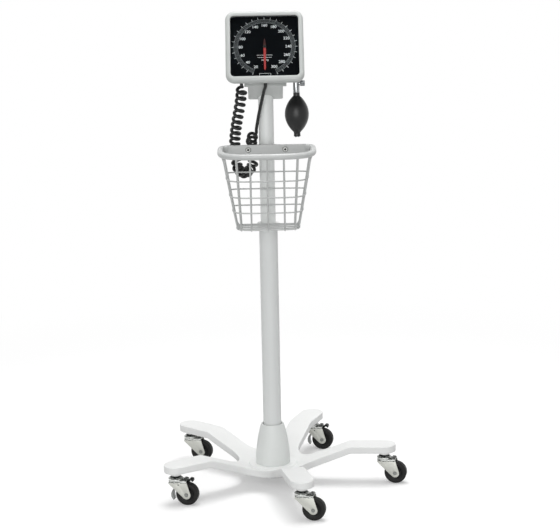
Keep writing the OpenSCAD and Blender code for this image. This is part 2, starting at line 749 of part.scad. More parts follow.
module movement_frame() {
    h = movement_head - movement_foot;
    pillars = [for (y = [movement_head - 4, movement_foot + 4], x = [-13, 13]) [y > 0 ? x : x - sign(x), y]];
    color("#C8A951") head_place() difference() {
        union() {
            for (n = [front_plate_n, rear_plate_n])
                translate([0, movement_head - h / 2, n - frame_t]) rounded_plate(34, h, 4, frame_t);
            for (p = pillars) translate([p[0], p[1], case_back + case_wall]) cylinder(r = 2.2,
                h = front_plate_n - frame_t / 2 - case_back - case_wall);
            translate([10.6, 2, rear_plate_n - 0.5]) cylinder(r = 0.8, h = front_plate_n - rear_plate_n);
        }
        translate([0, 0, case_back]) cylinder(r = arbor_r + fit, h = -case_back);
        translate([0, -gear_centres, case_back]) cylinder(r = arbor_r + 0.3 + fit, h = -case_back);
    }
}

// Flat spiral from the collet out to its stud
module hairspring() {
    turns = 4.5;
    steps = 90;
    spiral = function (i, off) let (a = 10.7 + 360 * turns * (1 - i / steps), r = 2.7 + 7.4 * i / steps + off)
        [r * cos(a), r * sin(a)];
    color("#6E7F9E") head_place() translate([0, 0, tail_n + 0.2]) linear_extrude(1)
        polygon(concat([for (i = [0:steps]) spiral(i, 0.15)], [for (i = [steps:-1:0]) spiral(i, -0.15)]));
}

module bellows() {
    waves = 7;
    length = 24;
    foot_x = bellows_x;
    y = -gear_centres - tail_l * cos(rest_turn);
    rod_end = -tail_l * sin(rest_turn) - 1 - 0.25;
    profile = [for (i = [0:2 * waves]) [i % 2 == 0 ? 9 : 7.4, length * i / (2 * waves)]];
    color("#C9A46A") head_place() translate([0, y, tail_n + 1]) {
        translate([foot_x, 0, 0]) rotate([0, 90, 0]) rotate_extrude()
            polygon(concat([[0, 0]], profile, [[0, length]]));
        translate([foot_x + length - 0.5, 0, 0]) rotate([0, 90, 0])
            cylinder(r = 1.2, h = rod_end - foot_x - length + 0.5);
        translate([foot_x - 4, -9, case_back + case_wall - tail_n - 1])
            cube([4.5, 18, tail_n + 8 - case_back - case_wall]);
    }
}

// Air way inside the case: bar over the three ports and a branch to the bellows
module manifold() {
    bar_y = case_bottom + 9;
    bar_n = -(bezel_t + port_depth);
    bar_pos_y = head_place_y(bar_y, bar_n);
    bellows_y = -gear_centres - tail_l * cos(rest_turn) - 9;
    color("#8A8C8B") difference() {
        head_place() intersection() {
            union() {
                translate([coil_port_x - 6, bar_y, bar_n]) rotate([0, 90, 0])
                    cylinder(r = 5.5, h = bulb_x - coil_port_x + 12);
                translate([bellows_x - 2, bar_y, bar_n]) rotate([-90, 0, 0])
                    cylinder(r = 2, h = bellows_y - bar_y);
            }
            cavity(fit);
        }
        for (x = [coil_port_x, 0, bulb_x]) translate([x, port_y, port_z]) cylinder(r = port_r + fit, h = 40);
    }
}

module port(x) {
    translate([x, port_y, port_z]) {
        cylinder(r = port_r, h = 20);
        cylinder(r = 5.6, h = 6, $fn = 6);
    }
}

module hose_ports() {
    color("#9B9D9C") {
        port(coil_port_x);
        port(0);
    }
}

module valve_body() {
    color("#C8CACC") translate([bulb_x, valve_y, 0]) difference() {
        union() {
            translate([0, 0, bulb_top_z]) cylinder(r = valve_d / 2, h = valve_l);
            translate([0, 0, valve_top_z - 1]) cylinder(r = port_r, h = 15);
            translate([0, 0, bulb_top_z - 10]) cylinder(r = 3.5, h = 11);
            translate([0, 0, knob_z]) rotate([0, 90, 0]) cylinder(r = 4, h = valve_d / 2 + 0.8);
        }
        translate([-1, 0, knob_z]) rotate([0, 90, 0]) cylinder(r = 1.5 + fit, h = 20);
        translate([0, 0, bulb_top_z - 11]) cylinder(r = 1.2, h = valve_l + 8);
    }
}

module valve_screw() {
    start = valve_d / 2 + 1;
    length = 10;
    color("#C8CACC") translate([bulb_x, valve_y, knob_z]) rotate([0, 90, 0]) {
        cylinder(r = 1.5, h = start + 1);
        difference() {
            union() {
                translate([0, 0, start]) cylinder(r1 = knob_d / 2 - 1.2, r2 = knob_d / 2, h = 1.2);
                translate([0, 0, start + 1.2]) cylinder(r = knob_d / 2, h = length - 2.4);
                translate([0, 0, start + length - 1.2])
                    cylinder(r1 = knob_d / 2, r2 = knob_d / 2 - 1.2, h = 1.2);
            }
            for (i = [0:15]) rotate([0, 0, 22.5 * i])
                translate([knob_d / 2 + 0.25, 0, start - 1]) cylinder(r = 0.7, h = length + 2, $fn = 16);
        }
    }
}

function bulb_r(f) = bulb_d / 2 * pow(max(1 - pow(2 * f - 1, 2), 0), 0.85);

module bulb() {
    neck = 7;
    wall = 2.5;
    n = 24;
    body_top = bulb_top_z - 2;
    body_l = bulb_l - 6;
    outer = [for (i = [0:n]) let (f = i / n) [max(bulb_r(f), neck), body_top - body_l * f]];
    inner = [for (i = [n - 3:-1:3]) let (f = i / n) [max(bulb_r(f) - wall, 3.6), body_top - body_l * f]];
    color("#1E2020") translate([bulb_x, valve_y, 0]) difference() {
        rotate_extrude() polygon(concat([[0, bulb_top_z]], [[neck, bulb_top_z]], outer,
            [[neck, bulb_foot_z], [0, bulb_foot_z]]));
        rotate_extrude() polygon(concat([[0, body_top - body_l * (n - 3) / n]], inner,
            [[0, body_top - body_l * 3 / n]]));
        translate([0, 0, bulb_top_z - 30]) cylinder(r = 3.5, h = 31);
        translate([0, 0, bulb_foot_z - 1]) cylinder(r = 3.5, h = 30);
    }
}

module bulb_inlet() {
    color("#9B9D9C") translate([bulb_x, valve_y, bulb_foot_z]) difference() {
        union() {
            cylinder(r = 3.5, h = 9);
            translate([0, 0, -1.5]) cylinder(r = 5, h = 1.5);
        }
        translate([0, 0, -2]) cylinder(r = 0.8, h = 20);
    }
}

module straight_hose() {
    n = 7 * (len(hose_route) - 1);
    last = len(hose_route) - 1;
    color("#1E2020") skin([for (i = [0:n]) let (t = last * i / n)
        ring(route_at(hose_route, t), i == 0 ? joint_dir : i == n ? [0, 0, 1] : route_dir(hose_route, t),
        [1, 0, 0],
            hose_r, 10)], 10);
}

// Coil: a helix wound round its own hanging middle line
coil_samples = 240;
coil_last = len(coil_route) - 1;
coil_line = [for (i = [0:coil_samples]) route_at(coil_route, coil_last * i / coil_samples)];
coil_steps = [for (i = [0:coil_samples - 1]) norm(coil_line[i + 1] - coil_line[i])];
function running(list, i = 0, s = 0) = i >= len(list) ? [s] : concat([s], running(list, i + 1, s + list[i]));
coil_length = running(coil_steps);
coil_total = coil_length[coil_samples];
// Turns wound by each sample, with the pitch drawn out where the coil carries more of its own weight
coil_wound = running([for (i = [0:coil_samples - 1])
    coil_steps[i] / coil_pitch / lookup(coil_last * (i + 0.5) / coil_samples, coil_stretch)]);
param_by_length = [for (i = [0:coil_samples]) [coil_length[i], coil_last * i / coil_samples]];
wound_by_length = [for (i = [0:coil_samples]) [coil_length[i], coil_wound[i]]];
length_by_wound = [for (i = [0:coil_samples]) [coil_wound[i], coil_length[i]]];
// Turns go between two straight ends, one hose diameter long each
coil_lead = hose_d;
coil_first = lookup(coil_lead, wound_by_length);
coil_wind = lookup(coil_total - coil_lead, wound_by_length) - coil_first;
coil_turns = floor(coil_wind);
coil_rings = coil_turns * 8;
function coil_axis(s) = route_at(coil_route, lookup(s, param_by_length));
function coil_dir(s) = unit(coil_axis(min(s + 1, coil_total)) - coil_axis(max(s - 1, 0)));
function coil_side(s) = let (d = coil_dir(s), y = [0, 1, 0]) unit(y - (y * d) * d);
function coil_s(k) = lookup(coil_first + coil_wind * k / coil_rings, length_by_wound);
// The coil opens out over half a turn at the port and closes over 0.8 of a turn at the straight hose
function coil_swell(k) = let (e = min(2 * k, (coil_rings - k) / 0.8) / 8) e >= 1 ? 1 : sin(90 * e);
function coil_out(k) = let (s = coil_s(k), b = coil_side(s),
    a = cross(coil_dir(s), b)) cos(45 * k) * a + sin(45 * k) * b;
function coil_point(k) = coil_axis(coil_s(k)) + coil_r * coil_swell(k) * coil_out(k);
coil_points = concat([coil_axis(0)], [for (k = [0:coil_rings]) coil_point(k)], [coil_axis(coil_total)]);
coil_gap = min([for (i = [0:len(coil_points) - 7], j = [i + 5:1:min(i + 20, len(coil_points) - 1)])
    norm(coil_points[i] - coil_points[j])]) - hose_d;
echo(coil_turns = coil_turns, coil_gap = coil_gap,
    coil_hose_length = sum([for (i = [0:len(coil_points) - 2]) norm(coil_points[i + 1] - coil_points[i])]));

module coil_hose() {
    m = len(coil_points);
    color("#1E2020") skin([for (i = [0:m - 1])
        let (d = i == 0 ? [0, 0, -1] : i == m - 1 ? joint_dir : unit(coil_points[i + 1] - coil_points[i - 1]))
        ring(coil_points[i], d, i < 3 || i > m - 4 ? [1, 0.2, 0] : coil_out(i - 1), hose_r, 6)], 6);
}

// Castors, each in its own frame: stem at the origin, trailing to +x
module castor_place(i) {
    turn = leg_turn + 72 * (i - 1);
    rotate([0, 0, turn]) translate([leg_reach, 0, 0]) rotate([0, 0, heading - turn]) children();
}

module castor_stem() {
    color("#B4B6B4") difference() {
        union() {
            rotate_extrude() polygon([[0, dome_z + 1], [race_d / 2, dome_z], [race_d / 2, dome_z + 2.4],
                [race_d / 2 - 1, dome_z + 4], [race_d / 2 - 4, dome_z + 6], [race_d / 2 - 6.5, dome_z + 7],
                [race_d / 2 - 6.5, castor_h], [0, castor_h]]);
            translate([0, 0, castor_h - 1]) cylinder(r = stem_d / 2, h = boss_h + leg_t - 5);
        }
        translate([0, 0, dome_z - 1]) cylinder(r = race_d / 2 - 1.8, h = 3.6);
    }
    color("#B4B6B4") translate([0, 0, crown_z - 0.3 - 2]) {
        cylinder(r = 5, h = 2);
        cylinder(r = kingpin_r, h = dome_z + 5 - crown_z + 2.3);
    }
}

// Plate by the wheel: down to a round end at the axle
module fork_side(y) {
    end_r = axle_d / 2 + 6.5;
    arc = [for (i = [0:9]) let (a = 10 - 143 * i / 9) [trail + end_r * cos(a), axle_z + end_r * sin(a)]];
    translate([0, y + fork_t, 0]) rotate([90, 0, 0]) linear_extrude(fork_t)
        polygon(concat([[-14, crown_z + 1.5], [-8, race_z - 1], [trail + 0.5, race_z - 1]], arc,
            [[-14, crown_z - 0.5]]));
}

module castor_fork(braked) {
    side = plate_in + fork_t;
    color("#D9D9D3") difference() {
        union() {
            translate([0, 0, crown_z]) cylinder(r = crown_r, h = crown_t);
            translate([0, side, 0]) rotate([90, 0, 0]) linear_extrude(2 * side)
                polygon([[0, crown_z], [trail - 16.5, crown_z], [trail - 13, crown_z + 2.4],
                    [trail - 6, crown_z + 4.7],
                    [trail + 0.5, crown_z + 4.7], [trail + 0.5, race_z + 0.4], [trail - 2, race_z + 2],
                    [crown_r + 2.4, race_z + 2.4], [crown_r + 1.2, race_z], [0, race_z]]);
            for (y = [plate_in, -side]) fork_side(y);
            translate([0, 0, race_z - 0.5]) cylinder(r = race_d / 2 - 2.2, h = dome_z + 2.2 - race_z + 0.5);
        }
        translate([0, plate_in, 0]) rotate([90, 0, 0]) linear_extrude(2 * plate_in)
            polygon([[trail - 16.5, crown_z - 1], [trail - 16.5, crown_z], [trail - 13, crown_z + 2.4],
                [trail - 6, crown_z + 4.7], [trail + 2, crown_z + 4.7], [trail + 2, crown_z - 1]]);
        translate([0, 0, crown_z - 1]) cylinder(r = kingpin_r + fit, h = 20);
        translate([trail, 40, axle_z]) rotate([90, 0, 0]) cylinder(r = axle_d / 2 + fit, h = 80);
        if (braked) translate([brake_x, 40, brake_z]) rotate([90, 0, 0]) cylinder(r = 1.5 + fit, h = 80);
    }
}

module castor_axle() {
    reach = plate_in + fork_t;
    color("#C9CBC8") translate([trail, 0, axle_z]) rotate([90, 0, 0]) {
        translate([0, 0, -reach - 3]) cylinder(r = axle_d / 2, h = 2 * reach + 3.5);
        translate([0, 0, reach]) cylinder(r1 = axle_d / 2 + 1.4, r2 = axle_d / 2 + 0.4, h = 1.8);
        translate([0, 0, -reach - 3]) cylinder(r = axle_d / 2 + 2, h = 3, $fn = 6);
    }
}

hub_r = 16;

module castor_hub() {
    color("#2C2D2D") translate([trail, 0, axle_z]) rotate([90, 0, 0]) difference() {
        union() {
            translate([0, 0, -wheel_w / 2 + 1.5]) cylinder(r = hub_r, h = wheel_w - 3);
            translate([0, 0, -plate_in + 0.2]) cylinder(r = 6, h = 2 * plate_in - 0.4);
        }
        translate([0, 0, -20]) cylinder(r = axle_d / 2 + fit, h = 40);
    }
}

module castor_tyre() {
    w = wheel_w / 2;
    r = wheel_d / 2;
    side = [[hub_r, w - 1], [r - 4, w], [r - 1.6, w - 0.8], [r - 0.4, w - 2.6], [r, w - 5]];
    color("#2A2A2A") translate([trail, 0, axle_z]) rotate([90, 0, 0]) rotate_extrude()
        polygon(concat(side, [for (i = [4:-1:0]) [side[i][0], -side[i][1]]]));
}

// Brake rocker: a tab in front of the wheel, a bridge over it and a foot behind it
brake_x = trail - 17.5;
brake_z = axle_z + sqrt(brake_r * brake_r - 17.5 * 17.5);

// Outline of a strip along a line of points, each with its own thickness t
function strip(p, t) =
    let (n = len(p), dir = [for (i = [0:n - 1]) unit(p[min(i + 1, n - 1)] - p[max(i - 1, 0)])],
        side = [for (i = [0:n - 1]) t[i] / 2 * [-dir[i][1], dir[i][0]]])
    concat([for (i = [0:n - 1]) p[i] + side[i]], [for (i = [n - 1:-1:0]) p[i] - side[i]]);

module castor_brake() {
    c = [trail, axle_z];
    bridge = [for (a = [128:-10:88]) c + brake_r * [cos(a), sin(a)]];
    line = concat([c + [-30, -14], c + [-33, -7], c + [-33.4, 0], c + [-31, 7], c + [-28, 13],
        c + [-23.5, 18.5]], bridge,
        [c + [4.4, 31], c + [8.4, 34.2], c + [12.2, 33.4], c + [13.2, 29.6]]);
    color("#3A3B3B") {
        translate([0, 7, 0]) rotate([90, 0, 0]) linear_extrude(14)
            polygon(strip(line, [2.8, 5.4, 5.2, 3.8, 2, 2, 2, 2, 2, 2, 2, 3, 4.4, 4.6, 2.6]));
        translate([brake_x, 0, brake_z]) rotate([90, 0, 0]) {
            translate([0, 0, -7.5]) cylinder(r = 2.4, h = 15);
            translate([0, 0, -plate_in - fork_t]) cylinder(r = 1.5, h = 2 * (plate_in + fork_t));
        }
    }
}

base_casting();
pole_plug();
pole_bolt();
hub_cover();
pole_lower();
pole_collar();
pole_upper();
basket_bracket();
basket_rim();
wire_basket();
basket_screws();
head_bracket();
bracket_screws();
rear_case();
case_screws();
bezel();
lens();
lens_gasket();
dial_plate();
pointer();
pinion();
sector_gear();
movement_frame();
hairspring();
bellows();
manifold();
hose_ports();
straight_hose();
coil_hose();
valve_body();
valve_screw();
bulb();
bulb_inlet();
for (i = [1:5]) {
    castor_place(i) castor_stem();
    castor_place(i) castor_fork(i == 2 || i == 4);
    castor_place(i) castor_axle();
    castor_place(i) castor_hub();
    castor_place(i) castor_tyre();
}
for (i = [2, 4])
    castor_place(i) castor_brake();
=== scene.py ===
# Mobile aneroid blood pressure gauge on a castor stand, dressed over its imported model.
# Metres in the model's frame: floor at z = 0, pole on the z axis, the dial faces -y and leans back.
import math

import bmesh
import bpy
from mathutils import Matrix, Vector


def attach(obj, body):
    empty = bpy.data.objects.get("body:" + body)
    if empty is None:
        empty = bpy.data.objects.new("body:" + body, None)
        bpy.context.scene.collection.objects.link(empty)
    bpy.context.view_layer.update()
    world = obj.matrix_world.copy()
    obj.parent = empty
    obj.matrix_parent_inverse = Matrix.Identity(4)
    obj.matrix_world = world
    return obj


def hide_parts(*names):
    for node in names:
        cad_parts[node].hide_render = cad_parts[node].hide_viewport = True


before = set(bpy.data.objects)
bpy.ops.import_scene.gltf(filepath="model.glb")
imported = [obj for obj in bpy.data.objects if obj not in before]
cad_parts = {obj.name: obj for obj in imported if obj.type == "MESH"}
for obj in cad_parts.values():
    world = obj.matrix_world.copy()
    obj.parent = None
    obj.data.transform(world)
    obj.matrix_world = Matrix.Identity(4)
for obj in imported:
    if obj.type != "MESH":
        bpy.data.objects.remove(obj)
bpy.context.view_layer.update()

mm = 0.001
scene = bpy.context.scene

# Camera at the photograph's viewing angle
cameraView = {
    "place": (0, -3.733, 1.322),
    "focal": 1725,  # pixels of the photograph
    "photoWidth": 560,  # pixels
    "sensor": 36,  # mm
    "yaw": 0.37,
    "pitch": -12.37,
    "roll": -1.11,
}
yaw, pitch, roll = (math.radians(cameraView[k]) for k in ("yaw", "pitch", "roll"))
ahead = Vector((math.sin(yaw) * math.cos(pitch), math.cos(yaw) * math.cos(pitch), math.sin(pitch)))
level = ahead.cross(Vector((0, 0, 1))).normalized()
upright = level.cross(ahead)
right = math.cos(roll) * level + math.sin(roll) * upright
up = -math.sin(roll) * level + math.cos(roll) * upright
camera = bpy.data.objects.new("camera", bpy.data.cameras.new("camera"))
camera.data.lens = cameraView["focal"] / cameraView["photoWidth"] * cameraView["sensor"]
camera.data.sensor_width = cameraView["sensor"]
facing = Matrix((right, up, -ahead)).transposed().to_4x4()
camera.matrix_world = Matrix.Translation(cameraView["place"]) @ facing
scene.collection.objects.link(camera)
scene.camera = camera


# Materials
def linear(hexColour):
    channels = [int(hexColour[i : i + 2], 16) / 255 for i in (1, 3, 5)]
    return [c / 12.92 if c <= 0.04045 else ((c + 0.055) / 1.055) ** 2.4 for c in channels] + [1]


# A node given as a value stands for its first output
def addNode(tree, kind, values=None, **settings):
    node = tree.nodes.new(kind)
    for key, setting in settings.items():
        setattr(node, key, setting)
    for key, value in (values or {}).items():
        if isinstance(value, bpy.types.Node):
            value = value.outputs[0]
        if isinstance(value, bpy.types.NodeSocket):
            tree.links.new(value, node.inputs[key])
        else:
            node.inputs[key].default_value = value
    return node


def newSurface(name):
    material = bpy.data.materials.new(name)
    material.use_nodes = True
    material.node_tree.nodes.clear()
    return material, material.node_tree


noiseSpan = {"From Min": 0.3, "From Max": 0.7}  # most of a noise's values lie between these


# Ends a surface: its gloss and its relief follow the grain
def surfaceFrom(material, look, grain, values):
    tree, rough = material.node_tree, look["rough"]
    span = {"Value": grain, **noiseSpan, "To Min": rough[0], "To Max": rough[1]}
    gloss = addNode(tree, "ShaderNodeMapRange", span)
    height = {"Height": grain, "Distance": look["reliefMm"] * mm, "Strength": look.get("strength", 0.3)}
    relief = addNode(tree, "ShaderNodeBump", height)
    shader = addNode(tree, "ShaderNodeBsdfPrincipled", {"Roughness": gloss, "Normal": relief, **values})
    addNode(tree, "ShaderNodeOutputMaterial", {"Surface": shader})
    return material


# A coat, a moulding or a rubber skin: two near colours in soft clouds, uneven gloss and a fine relief
def skinned(name, **look):
    material, tree = newSurface(name)
    place = addNode(tree, "ShaderNodeTexCoord").outputs["Object"]
    if "stretch" in look:
        place = addNode(tree, "ShaderNodeMapping", {"Vector": place, "Scale": look["stretch"]})
    cloud, grain = (
        addNode(tree, "ShaderNodeTexNoise", {"Vector": place, "Scale": 1 / (look[size] * mm), "Detail": detail})
        for size, detail in (("cloudMm", 3), ("grainMm", 2))
    )
    ends = {0: cloud, 6: linear(look["dark"]), 7: linear(look["light"])}
    colour = addNode(tree, "ShaderNodeMix", ends, data_type="RGBA").outputs[2]
    return surfaceFrom(material, look, grain, {"Base Color": colour, "IOR": 1.5, **look.get("shader", {})})


# Powder coat on cast aluminium: a faint orange peel about 2 mm across breaks up the shine
powderCoat = skinned(
    "whitePowderCoat", dark="#E9EAE9", light="#F2F3F2", cloudMm=60, grainMm=2.2, reliefMm=0.1,
    rough=(0.34, 0.44), strength=0.25,
)
# Moulded ABS: even satin, spark-eroded texture 0.6 mm across drawn at 1 mm so that it shows
coverAbs = skinned(
    "greyMouldedAbs", dark="#DBDEDC", light="#E2E5E3", cloudMm=45, grainMm=1.0, reliefMm=0.08,
    rough=(0.4, 0.52), shader={"IOR": 1.54},
)
# Bezel and case: the same ABS a shade darker and a little glossier, so its rolled edge takes a soft light
bezelAbs = skinned(
    "bezelMouldedAbs", dark="#B4B8B6", light="#BCBFBD", cloudMm=30, grainMm=0.9, reliefMm=0.06,
    rough=(0.34, 0.46), shader={"IOR": 1.54},
)
# Satin paint on the cast bracket: dimples 1.5 mm across soften the edge of each highlight
bracketCoat = skinned(
    "bracketPaint", dark="#CBCECC", light="#D4D7D5", cloudMm=40, grainMm=1.5, reliefMm=0.08,
    rough=(0.42, 0.54), strength=0.35,
)
# Coated drawn tube: the coat follows faint lines along the tube, so the clouds are stretched upwards
tubeLook = dict(
    dark="#D9DCDB", light="#E1E3E2", cloudMm=9, stretch=(1, 1, 0.04), grainMm=1.6, reliefMm=0.06,
    rough=(0.32, 0.44),
)
tubeCoat = skinned("tubePowderCoat", **tubeLook)
# The slim upper tube: the same coat a shade whiter, painted light that lifts it where the head shades it
upperTubePaintedLightCoat = skinned("upperTubePaintedLightPowderCoat", **{**tubeLook, "dark": "#E9ECEA", "light": "#F0F2F1"})
# Basket steel dipped in a grey plastic coat: soft gloss, slightly lumpy skin
dipCoat = skinned(
    "greyDipCoat", dark="#BABCBB", light="#C5C7C6", cloudMm=25, grainMm=3.5, reliefMm=0.15,
    rough=(0.3, 0.42),
)
# Natural rubber dipped on a former: matt black, a dusty sheen at the rim, skin 0.5 mm fine drawn at 0.8 mm
bulbRubber = skinned(
    "moulded rubber", dark="#0E0F0F", light="#161717", cloudMm=14, grainMm=0.8, reliefMm=0.05,
    rough=(0.3, 0.4),
    shader={"IOR": 1.52, "Specular IOR Level": 0.35, "Sheen Weight": 0.03, "Sheen Roughness": 0.4},
)
# Extruded hose: smoother black with a long narrow shine, die lines 0.2 mm apart drawn as grain of 0.7 mm
hoseRubber = skinned(
    "extruded hose rubber", dark="#131414", light="#1B1D1D", cloudMm=8, grainMm=0.7, reliefMm=0.04,
    rough=(0.34, 0.46), strength=0.4, shader={"IOR": 1.52, "Specular IOR Level": 0.35},
)
# Moulded tread: dull, scuffed towards warm grey in patches 6 mm across
tyreRubber = skinned(
    "tyre rubber", dark="#121212", light="#1C1C1B", cloudMm=6, grainMm=0.9, reliefMm=0.08,
    rough=(0.5, 0.68), strength=0.5, shader={"IOR": 1.52, "Specular IOR Level": 0.25},
)
# Moulded nylon of the hubs and ports: black, a touch glossier than the rubber beside it
hubNylon = skinned(
    "moulded nylon", dark="#141515", light="#1C1D1D", cloudMm=10, grainMm=0.8, reliefMm=0.05,
    rough=(0.38, 0.5), shader={"IOR": 1.53, "Specular IOR Level": 0.25},
)
# Cut gasket sheet: flat black that swallows the light at the window's edge
sealRubber = skinned(
    "gasket rubber", dark="#151616", light="#1C1D1D", cloudMm=12, grainMm=0.8, reliefMm=0.04,
    rough=(0.5, 0.6), strength=0.5, shader={"IOR": 1.52},
)
# Sprayed matt lacquer on the dial: a blue-black that hardly mirrors, so the print stands out
dialLacquer = skinned(
    "black dial lacquer", dark="#030507", light="#06090C", cloudMm=30, grainMm=0.7, reliefMm=0.02,
    rough=(0.6, 0.7), strength=0.5, shader={"Specular IOR Level": 0.01},
)
# Screen-printed ink: off-white, thinner in patches where the mesh let less through
inkLook = dict(
    dark="#BFC3C3", light="#CDD0D0", cloudMm=9, grainMm=0.5, reliefMm=0.01, rough=(0.5, 0.6), strength=0.5,
)
whiteInk = skinned("white printing ink", **inkLook)
# The same ink in the grey that hair lines blend to from a step away, since each line is drawn coarser
dimInk = skinned("grey printing ink", **{**inkLook, "dark": "#5C6061", "light": "#6A6E70"})
# Enamel on the pressed needle: strong red, satin
enamelLook = dict(
    dark="#84130E", light="#951A15", cloudMm=7, grainMm=0.6, reliefMm=0.02, rough=(0.4, 0.5), strength=0.5,
)
needlePaint = skinned("red needle paint", **enamelLook)
# A thin first coat on the needle's tail: brown-red that sinks into the black dial
tailPaint = skinned(
    "dark red needle paint",
    **{**enamelLook, "dark": "#2E1210", "light": "#3A1713", "shader": {"Specular IOR Level": 0.2}},
)


# A metal: coloured mirror whose gloss varies with polishing or plating haze. Bands colour it by its height
# in mm, with a wave: painted reflections of a dark room and painted light, over the plate's own tone
def plated(name, **look):
    material, tree = newSurface(name)
    place = addNode(tree, "ShaderNodeTexCoord").outputs["Object"]
    stretched = {"Vector": place, "Scale": look.get("cloudStretch", (1, 1, 1))}
    clouds = addNode(tree, "ShaderNodeMapping", stretched)
    toneAndPaintedReflectionCloud, grain = (
        addNode(tree, "ShaderNodeTexNoise", {"Vector": spot, "Scale": 1 / (look[size] * mm), "Detail": 3})
        for spot, size in ((clouds, "cloudMm"), (place, "grainMm"))
    )
    # Painted reflections and painted light: colour by height, waved by the clouds
    if "bands" in look:
        half = look["waveMm"] / 2
        low, high = look["bands"][0][0], look["bands"][-1][0]
        height = addNode(tree, "ShaderNodeSeparateXYZ", {0: place}).outputs[2]
        wavy = {0: toneAndPaintedReflectionCloud, 1: look["waveMm"] * mm, 2: height}
        wave = addNode(tree, "ShaderNodeMath", wavy, operation="MULTIPLY_ADD")
        span = {"Value": wave, "From Min": (low + half) * mm, "From Max": (high + half) * mm}
        colour = addNode(tree, "ShaderNodeValToRGB", {0: addNode(tree, "ShaderNodeMapRange", span)})
        stops = colour.color_ramp.elements
        while len(stops) < len(look["bands"]):
            stops.new(0.5)
        for stop, (at, hexColour) in zip(stops, look["bands"]):
            stop.position = (at - low) / (high - low)
            stop.color = linear(hexColour)
    else:
        # Two tones in clouds; stretched upright, as on the valve, the dark tone is a painted reflection
        low, high = look.get("cloudSpan", (0, 1))
        share = addNode(tree, "ShaderNodeMapRange", {"Value": toneAndPaintedReflectionCloud, "From Min": low, "From Max": high})
        ends = {0: share, 6: linear(look["dark"]), 7: linear(look["light"])}
        colour = addNode(tree, "ShaderNodeMix", ends, data_type="RGBA").outputs[2]
    return surfaceFrom(material, look, grain, {"Base Color": colour, "Metallic": 1})


# Chromium plate over polished steel: near mirror, a breath of haze
chrome = plated(
    "chromium plate", dark="#B9BBBD", light="#CFD1D2", cloudMm=8, grainMm=1.2, reliefMm=0.01,
    rough=(0.1, 0.2),
)
# The same plate on the valve, with painted reflections of upright dark edges about 3 mm across
valveChromePaintedReflections = plated(
    "valve chromium plate", dark="#3C3F41", light="#C6C8C9", cloudMm=3.2, cloudStretch=(1, 1, 0.08),
    cloudSpan=(0.36, 0.62), grainMm=1.2, reliefMm=0.01, rough=(0.12, 0.22),
)
# Satin chromium on the knurled knob: a grey blur instead of a mirror
knobChrome = plated(
    "satin chromium plate", dark="#4E5052", light="#85888A", cloudMm=4, grainMm=0.8, reliefMm=0.01,
    rough=(0.24, 0.34),
)
# The same plate on the swivel races: painted reflections, a dark upper rim over a bright belt, waved a little
raceChromePaintedReflections = plated(
    "race chromium plate",
    bands=((56.5, "#7E807E"), (57.6, "#DADCD9"), (59.8, "#D0D2CF"), (60.6, "#4A4C4B"), (61.2, "#C4C6C3"),
           (62.4, "#8A8C8A"), (63.2, "#2C2E2E"), (67, "#262828")),
    waveMm=7, cloudMm=5, grainMm=1.2, reliefMm=0.01, rough=(0.16, 0.28),
)
# Zinc plate on pressed sheet: milky cheeks, slightly yellow, under a crown of dark and light painted
# reflections
zincPlatePaintedReflections = plated(
    "zinc plate",
    bands=((20, "#B8B9B3"), (50, "#C2C3BD"), (52.4, "#CACBC6"), (52.8, "#5E605E"), (53.8, "#2E3030"),
           (54.6, "#D0D2CF"), (56.4, "#BFC1BE"), (57.4, "#6A6C6A"), (58.6, "#2E3030"), (60.2, "#C8CAC7"),
           (61.8, "#B0B2AF"), (62.8, "#3A3C3B"), (64.4, "#2C2E2E"), (65.6, "#A8AAA8"), (68, "#3A3C3B")),
    waveMm=6, cloudMm=4, grainMm=1.4, reliefMm=0.02, rough=(0.5, 0.62),
)
# Bright zinc on screws: greyer and duller than the chromium beside it
screwSteel = plated(
    "bright zinc screws", dark="#9C9D9B", light="#B4B5B2", cloudMm=4, grainMm=0.8, reliefMm=0.02,
    rough=(0.28, 0.42),
)
# Barrel-plated zinc on axles and washers: mid grey, rubbed dull
boltSteel = plated(
    "dull zinc bolts", dark="#747674", light="#8C8E8C", cloudMm=4, grainMm=0.8, reliefMm=0.02,
    rough=(0.4, 0.5),
)
# Pressed brake lever: painted light on the foot from the floor, painted dark reflection of the leg on the top
brakeSteelPaintedLight = plated(
    "grey plated brake",
    bands=((5, "#9A9C9B"), (30, "#7E807F"), (40, "#4A4C4B"), (52, "#262828"), (60, "#1E2020"),
           (64, "#5E605F"), (70, "#2A2C2C")),
    waveMm=8, cloudMm=5, grainMm=1, reliefMm=0.03, rough=(0.3, 0.44),
)
# Turned and stamped brass of the movement: warm yellow, fine tool marks drawn at 0.6 mm
brass = plated(
    "turned brass", dark="#B08D4A", light="#C7A35E", cloudMm=6, grainMm=0.6, reliefMm=0.01,
    rough=(0.2, 0.34),
)
# Heat-blued spring strip: slate blue with a hard shine
blueSteel = plated(
    "blued spring steel", dark="#3B4768", light="#55648C", cloudMm=3, grainMm=0.6, reliefMm=0.01,
    rough=(0.2, 0.32),
)


# Clear acrylic window: low mirror, so the black dial stays black, faint smears, and lamps shine through it
def acrylic():
    material, tree = newSurface("clear acrylic")
    place = addNode(tree, "ShaderNodeTexCoord").outputs["Object"]
    smear = addNode(tree, "ShaderNodeTexNoise", {"Vector": place, "Scale": 1 / (22 * mm), "Detail": 4})
    span = {"Value": smear, "From Min": 0.4, "From Max": 0.8, "To Min": 0, "To Max": 0.008}
    gloss = addNode(tree, "ShaderNodeMapRange", span)
    glass = {"Base Color": linear("#FBFDFD"), "Roughness": gloss, "IOR": 1.49, "Transmission Weight": 1}
    clear = addNode(tree, "ShaderNodeBsdfPrincipled", glass)
    shadow = addNode(tree, "ShaderNodeLightPath").outputs["Is Shadow Ray"]
    bare = addNode(tree, "ShaderNodeBsdfTransparent")
    mixed = addNode(tree, "ShaderNodeMixShader", {0: shadow, 1: clear, 2: bare})
    addNode(tree, "ShaderNodeOutputMaterial", {"Surface": mixed})
    return material


acrylicWindow = acrylic()
print("materials made")


